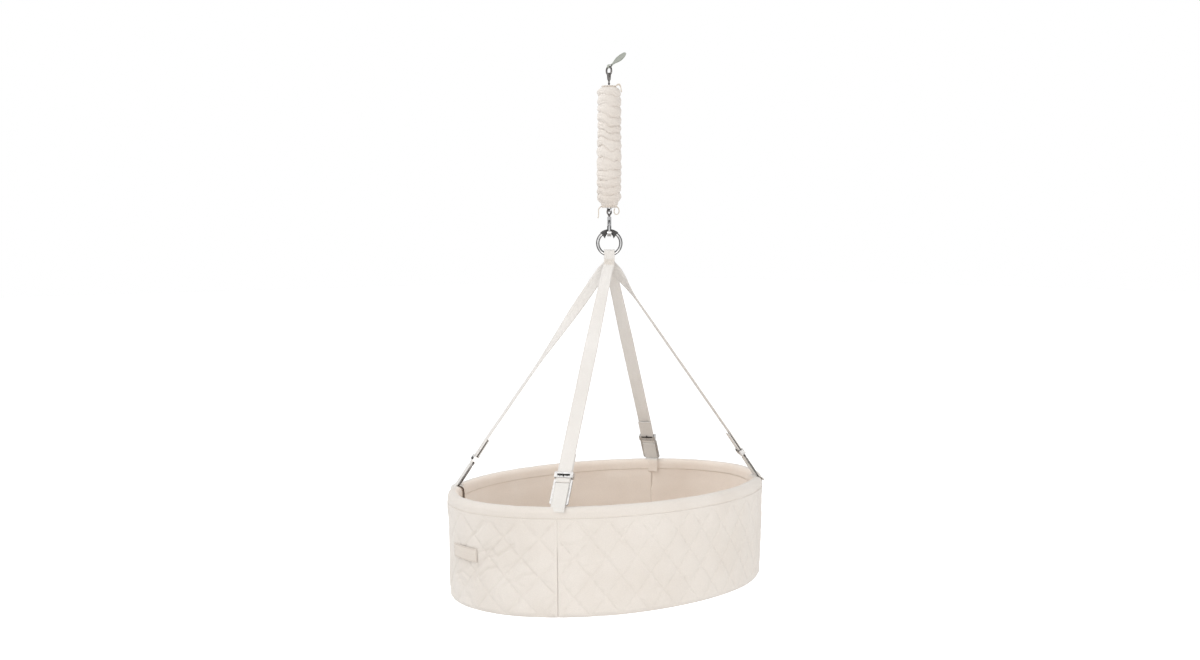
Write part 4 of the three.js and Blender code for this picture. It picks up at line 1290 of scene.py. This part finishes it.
plug = {"edge": 0.0012, "sides": 48}
loop_and_posts("top_eye_ring", "top_eye", "hang_eye", "gunmetal", 0.007, across_basket,
               [(0.0047, -0.0270, -0.0140, {"edge": 0.0007, "low_radius": 0.0037})],
               0.008, 0.009, 0.002)
loop_and_posts("swivel_pin_ring", "top_swivel", "swivel_pin", "gunmetal", 0.0446, 0, [
    (0.0034, -0.0140, -0.0114, {"edge": 0.0006}), (wire_radius, -0.0420, -0.0127, {"edge": 0.0002}),
    (0.0026, -0.0292, -0.0276, {"edge": 0.0005}), (0.0026, -0.0352, -0.0330, {"edge": 0.0008})])
loop_and_posts("spring_head_hook", "spring_head", "spring_top_hook", "spring_steel", 0.0515,
               across_basket, [
                   (wire_radius, -0.0820, -0.0560, {}), (plug_radius, -0.08005, -0.06205, plug)])
loop_and_posts("spring_foot_hook", "spring_foot", "spring_bottom_hook", "spring_steel", 0.30535,
               across_basket, [
                   (wire_radius, -0.3008, -0.2848, {}), (plug_radius, -0.2868, -0.2688, plug)])
loop_and_posts("snap_swivel_eye", "snap_swivel", "snap_eye", "gunmetal", 0.31225, 0, [
    (wire_radius, -0.3361, -0.3168, {}), (0.0034, -0.3361, -0.3335, {"edge": 0.0005}),
    (0.0031, -0.3215, -0.3192, {"edge": 0.0008})])

eased_copy("snap_hook_cast", "snap_hook", polished_steel, 0.0013, 3)
eased_copy("snap_bolt_turned", "snap_bolt", polished_steel, 0.0004)


# Springs, each one wire

def coil(name, at, radius, wire, top, bottom, turns, node):
    steps = turns * 24
    drop = (bottom - top) / steps
    mesh = bmesh.new()
    ring = bmesh.ops.create_circle(mesh, segments=12, radius=wire)["verts"]
    bmesh.ops.rotate(mesh, verts=ring, matrix=Matrix.Rotation(pi / 2, 3, "X"))
    bmesh.ops.translate(mesh, verts=ring, vec=(radius, 0, top))
    bmesh.ops.spin(mesh, geom=list(mesh.edges), cent=(0, 0, 0), axis=(0, 0, 1), dvec=(0, 0, drop),
                   angle=tau * turns, steps=steps, use_merge=False, use_duplicate=False)
    bmesh.ops.holes_fill(mesh, edges=[e for e in mesh.edges if e.is_boundary])
    bmesh.ops.translate(mesh, verts=mesh.verts, vec=(at.x, at.y, 0))
    made = finished(name, faced_out(mesh), None, spring_steel, [node])
    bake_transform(made)


coil("main_spring", Vector((0, 0)), spring_radius, spring_wire, spring_top, spring_bottom,
     spring_coils, "spring")
bolt_at = Matrix.Rotation(ring_turn, 2) @ Vector((0, -0.0084))
coil("bolt_return_spring", bolt_at, 0.00175, 0.00035, -0.32645, -0.33515, 5,
     "bolt_spring")


# Spring cover: a long sleeve pushed up in folds and drawn in at each end

cover_length = cover_top - cover_bottom
cover_cut = (0.160, 0.400)


def cover_profile(z):
    """The sleeve's plain radius at a height, and how slack its cloth lies there."""
    below, above = cover_top - z, z - cover_bottom
    top = min(1, max(0, (below - neck_drop) / top_shoulder))
    low = min(1, max(0, (above - neck_drop) / low_shoulder))
    share = sqrt(1 - (1 - top) ** 2.4) * low ** 0.62
    full = cover_radius + 0.0014 * smooth(below / 0.2)
    radius = mixed(cover_neck, full, share)
    for near in (below, above):
        if near < neck_drop:
            radius = mixed(cover_frill, cover_neck, smooth(near / neck_drop))
    return radius, share


def cover_point(u, v):
    angle = tau * u / cover_cut[0]
    z = cover_top - cover_length * v / cover_cut[1]
    c, s = cos(angle), sin(angle)
    radius, slack = cover_profile(z)
    side = abs(cos(angle - ring_turn))
    drift = 0.85 * uneven(c * 0.55, s * 0.55, z * 15)
    drift += 0.26 * uneven(c * 1.8, s * 1.8, z * 36 + 7)
    height = uneven(c * 0.8, s * 0.8, z * 31 + 2)
    wave = abs(sin(pi * (z / cover_fold + drift)))
    half_wave = abs(sin(pi * (z / cover_fold * 1.9 + 1.6 * drift + c)))
    puff = wave ** 0.55
    small = half_wave ** 0.5
    pleat = uneven(c * 4.5, s * 4.5, z * 60 + 11)
    grow = mixed(0.0032, 0.0050, side) * (1 + 0.8 * height)
    radius += slack * (grow * (puff - 0.5) + mixed(0.0009, 0.0017, side) * small + 0.0007 * pleat)
    radius += slack * 0.0014 * uneven(c * 0.9, s * 0.9, z * 11 + 5)
    gathers = 0.0011 * cos(13 * angle + 2 * sin(3 * angle)) + 0.0005 * cos(29 * angle)
    if slack > 0.8:
        radius = max(radius, cover_least)
    radius += (1 - slack) * gathers
    return Vector((radius * c, radius * s, z - slack * 0.0022 * puff))


cover_mesh = faced_out(cloth_grid(120, 340, *cover_cut, cover_point, True))
cover = finished("spring_sleeve", cover_mesh, None, cover_cotton, ["spring_cover"],
                 cover_thick)
cover.data = mesh_now(cover)
cover.modifiers.clear()
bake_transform(cover)


# Drawstrings round the cover's necks

def neck_cord(name, height, body, node):
    path = [Vector((tie_ring * cos(angle), tie_ring * sin(angle),
                    height + 0.0004 * sin(3 * angle))) for angle in np.linspace(0, tau, 72, False)]
    mesh = closed_rod(path, tie_radius, 12)
    bmesh.ops.create_icosphere(mesh, subdivisions=2, radius=0.0024, matrix=Matrix.Translation(
        (tie_ring * cos(ring_turn), tie_ring * sin(ring_turn), height)))
    finished(name, mesh, body, cord_cotton, [node])


neck_cord("top_neck_cord", tie_top, "spring_head", "cover_top_tie")
neck_cord("low_neck_cord", tie_low, "spring_foot", "cover_bottom_tie")


def tie_points(turn, height, path):
    side = Vector((cos(turn), sin(turn), 0))
    swing = Vector((-side.y, side.x, 0))
    return [side * out + swing * aside + Vector((0, 0, height - drop)) for out, drop, aside in path]


over = [(0.0132, 0, 0), (0.0150, -0.0020, 0), (0.0182, -0.0058, 0.001), (0.0230, -0.0077, 0.001),
        (0.0268, -0.0046, 0), (0.0284, 0.0018, -0.001), (0.0290, 0.0092, -0.002)]
under = [(0.0132, 0, 0), (0.0158, 0.0006, 0), (0.0200, 0.0022, 0.001), (0.0232, 0.0066, 0.002),
         (0.0236, 0.0120, 0.001), (0.0228, 0.0170, -0.001), (0.0236, 0.0220, -0.002),
         (0.0250, 0.0268, -0.001)]
bow = [(0.0132, 0, 0), (0.0168, 0.0012, 0.001), (0.0205, 0.0046, 0.002), (0.0222, 0.0104, 0.002),
       (0.0206, 0.0164, 0.001), (0.0162, 0.0194, 0), (0.0118, 0.0172, -0.002),
       (0.0100, 0.0122, -0.003), (0.0112, 0.0078, -0.003), (0.0124, 0.0056, -0.003)]
for name, turn, height, path, body, end in (
        ("top_tie_end_near", ring_turn - 0.4, tie_top, over, "spring_head", "bare"),
        ("top_tie_end_far", ring_turn + 0.4, tie_top, over, "spring_head", "bare"),
        ("low_tie_end", ring_turn + pi, tie_low, under, "spring_foot", "bare"),
        ("low_tie_bow", ring_turn, tie_low, bow, "spring_foot", "object")):
    points = tie_points(turn, height, path)
    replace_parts(cord(name, points, tuple(points[0]), body),
                "cover_top_tie" if height == tie_top else "cover_bottom_tie")


# Hang tab: one stiff tape folded round the eye and sewn to itself in a leaf

leaf_long = 0.058
tab_lean = atan2(0.034, leaf_long)
tab_along = Vector((cos(tab_lean), 0, sin(tab_lean)))
tab_up = Vector((-sin(tab_lean), 0, cos(tab_lean)))
tab_pivot = Vector((0, 0, 0.002))
tab_thick = 0.0011
tab_twist = radians(27)
leaf_widths = ((0, 0.0056), (0.013, 0.0056), (0.019, 0.0078), (0.027, 0.0118), (0.036, 0.0144),
               (0.045, 0.0132), (0.052, 0.0098), (0.058, 0.0052))


def leaf_width(reach):
    reaches, widths = zip(*leaf_widths)
    return float(np.interp(reach, reaches, widths))


def tab_station(reach, way):
    """A place on the leaf, which turns its face to the front beyond its neck."""
    apart = mixed(tab_thick / 2 + 0.0001, 0.0037, smooth((0.0105 - reach) / 0.0095))
    turn = Matrix.Rotation(tab_twist * smooth((reach - 0.010) / 0.020), 3, tab_along)
    up = turn @ tab_up
    at = tab_pivot + tab_along * reach + tab_up * (0.0045 * (reach / leaf_long) ** 2) + up * (way * apart)
    return (at, turn @ Vector((0, 1, 0)), up * way, leaf_width(reach))


loop_end, leaf_end = 0.001, 0.0575
loop_radius = 0.0037
tab_chain = [tab_station(mixed(leaf_end, loop_end, i / 40), -1) for i in range(41)]
for i in range(1, 12):
    angle = pi * i / 12
    way = -tab_up * cos(angle) - tab_along * sin(angle)
    tab_chain.append((tab_pivot + tab_along * loop_end + way * loop_radius, Vector((0, 1, 0)), way,
                      leaf_width(0)))
tab_chain += [tab_station(mixed(loop_end, leaf_end, i / 40), 1) for i in range(41)]
strap("hang_tab_tape", tab_chain, "top_eye", grey_tape, "grey_tape", ["hang_tab"], tab_thick, 0.0002)


# Finishes on the solids that stay as they are

for node, finish in (("rim_rod", spring_steel), ("base_board", plywood)):
    solid = frame["nodes"][node]
    solid.data.materials.clear()
    solid.data.materials.append(finish)


# Floor, light and surroundings

def seen_rays(wiring):
    """One for the camera's own rays, and for those that metal or glass sends on."""
    ray = wiring.nodes.new("ShaderNodeLightPath").outputs
    either = wiring.combined(ray["Is Camera Ray"], ray["Is Glossy Ray"], "MAXIMUM")
    return wiring.combined(either, ray["Is Transmission Ray"], "MAXIMUM")


pale_floor, wiring, shader = new_material("pale_floor")
wiring.fill(shader, {
    "Base Color": (0.80, 0.80, 0.80, 1), "Roughness": 0.9, "Emission Color": (1, 1, 1, 1),
    "Emission Strength": wiring.combined(seen_rays(wiring), floor_glow)})
floor_mesh = bmesh.new()
bmesh.ops.create_grid(floor_mesh, x_segments=1, y_segments=1, size=28,
                      matrix=Matrix.Translation((0, 0, floor_height)))
floor_data = bpy.data.meshes.new("studio_floor")
floor_mesh.to_mesh(floor_data)
floor_mesh.free()
floor_data.materials.append(pale_floor)
floor = bpy.data.objects.new("studio_floor", floor_data)
bpy.context.scene.collection.objects.link(floor)

world = bpy.data.worlds.new("studio")
bpy.context.scene.world = world
wiring = Wiring(world)
lighting = wiring.nodes["Background"]
wiring.fill(lighting, {"Color": (1, 1, 1, 1), "Strength": world_level})
shown = wiring.node("Background", {"Color": (1, 1, 1, 1), "Strength": 1.0})
either = wiring.node("MixShader", {"Fac": seen_rays(wiring), 1: lighting.outputs[0], 2: shown})
wiring.fill(wiring.nodes["World Output"], {"Surface": either})


def soft_light(name, at, towards, wide, high, power, colour):
    lamp = bpy.data.lights.new(name, "AREA")
    lamp.shape = "RECTANGLE"
    lamp.size = wide
    lamp.size_y = high
    lamp.energy = power
    lamp.color = colour
    lit = bpy.data.objects.new(name, lamp)
    lit.location = at
    lit.rotation_euler = (Vector(towards) - Vector(at)).to_track_quat("-Z", "Y").to_euler()
    bpy.context.scene.collection.objects.link(lit)


aimed = (0, 0, -0.75)
soft_light("key_light", tuple(seen(-2.2, 2.6, 0.7)), aimed, 2.2, 2.2, key_power, (1, 0.99, 0.975))
soft_light("fill_light", tuple(seen(2.9, 1.3, -0.1)), aimed, 2.4, 2.4, fill_power, (1, 0.985, 0.965))
soft_light("top_light", tuple(seen(-1.7, 0.2, 1.4)), aimed, 2.0, 2.0, top_power, (1, 1, 1))
soft_light("low_light", tuple(seen(0.2, 2.6, -1.45)), (0, 0, -0.65), 2.0, 0.8, low_power, (1, 0.94, 0.88))

bpy.context.scene.view_settings.view_transform = "Standard"
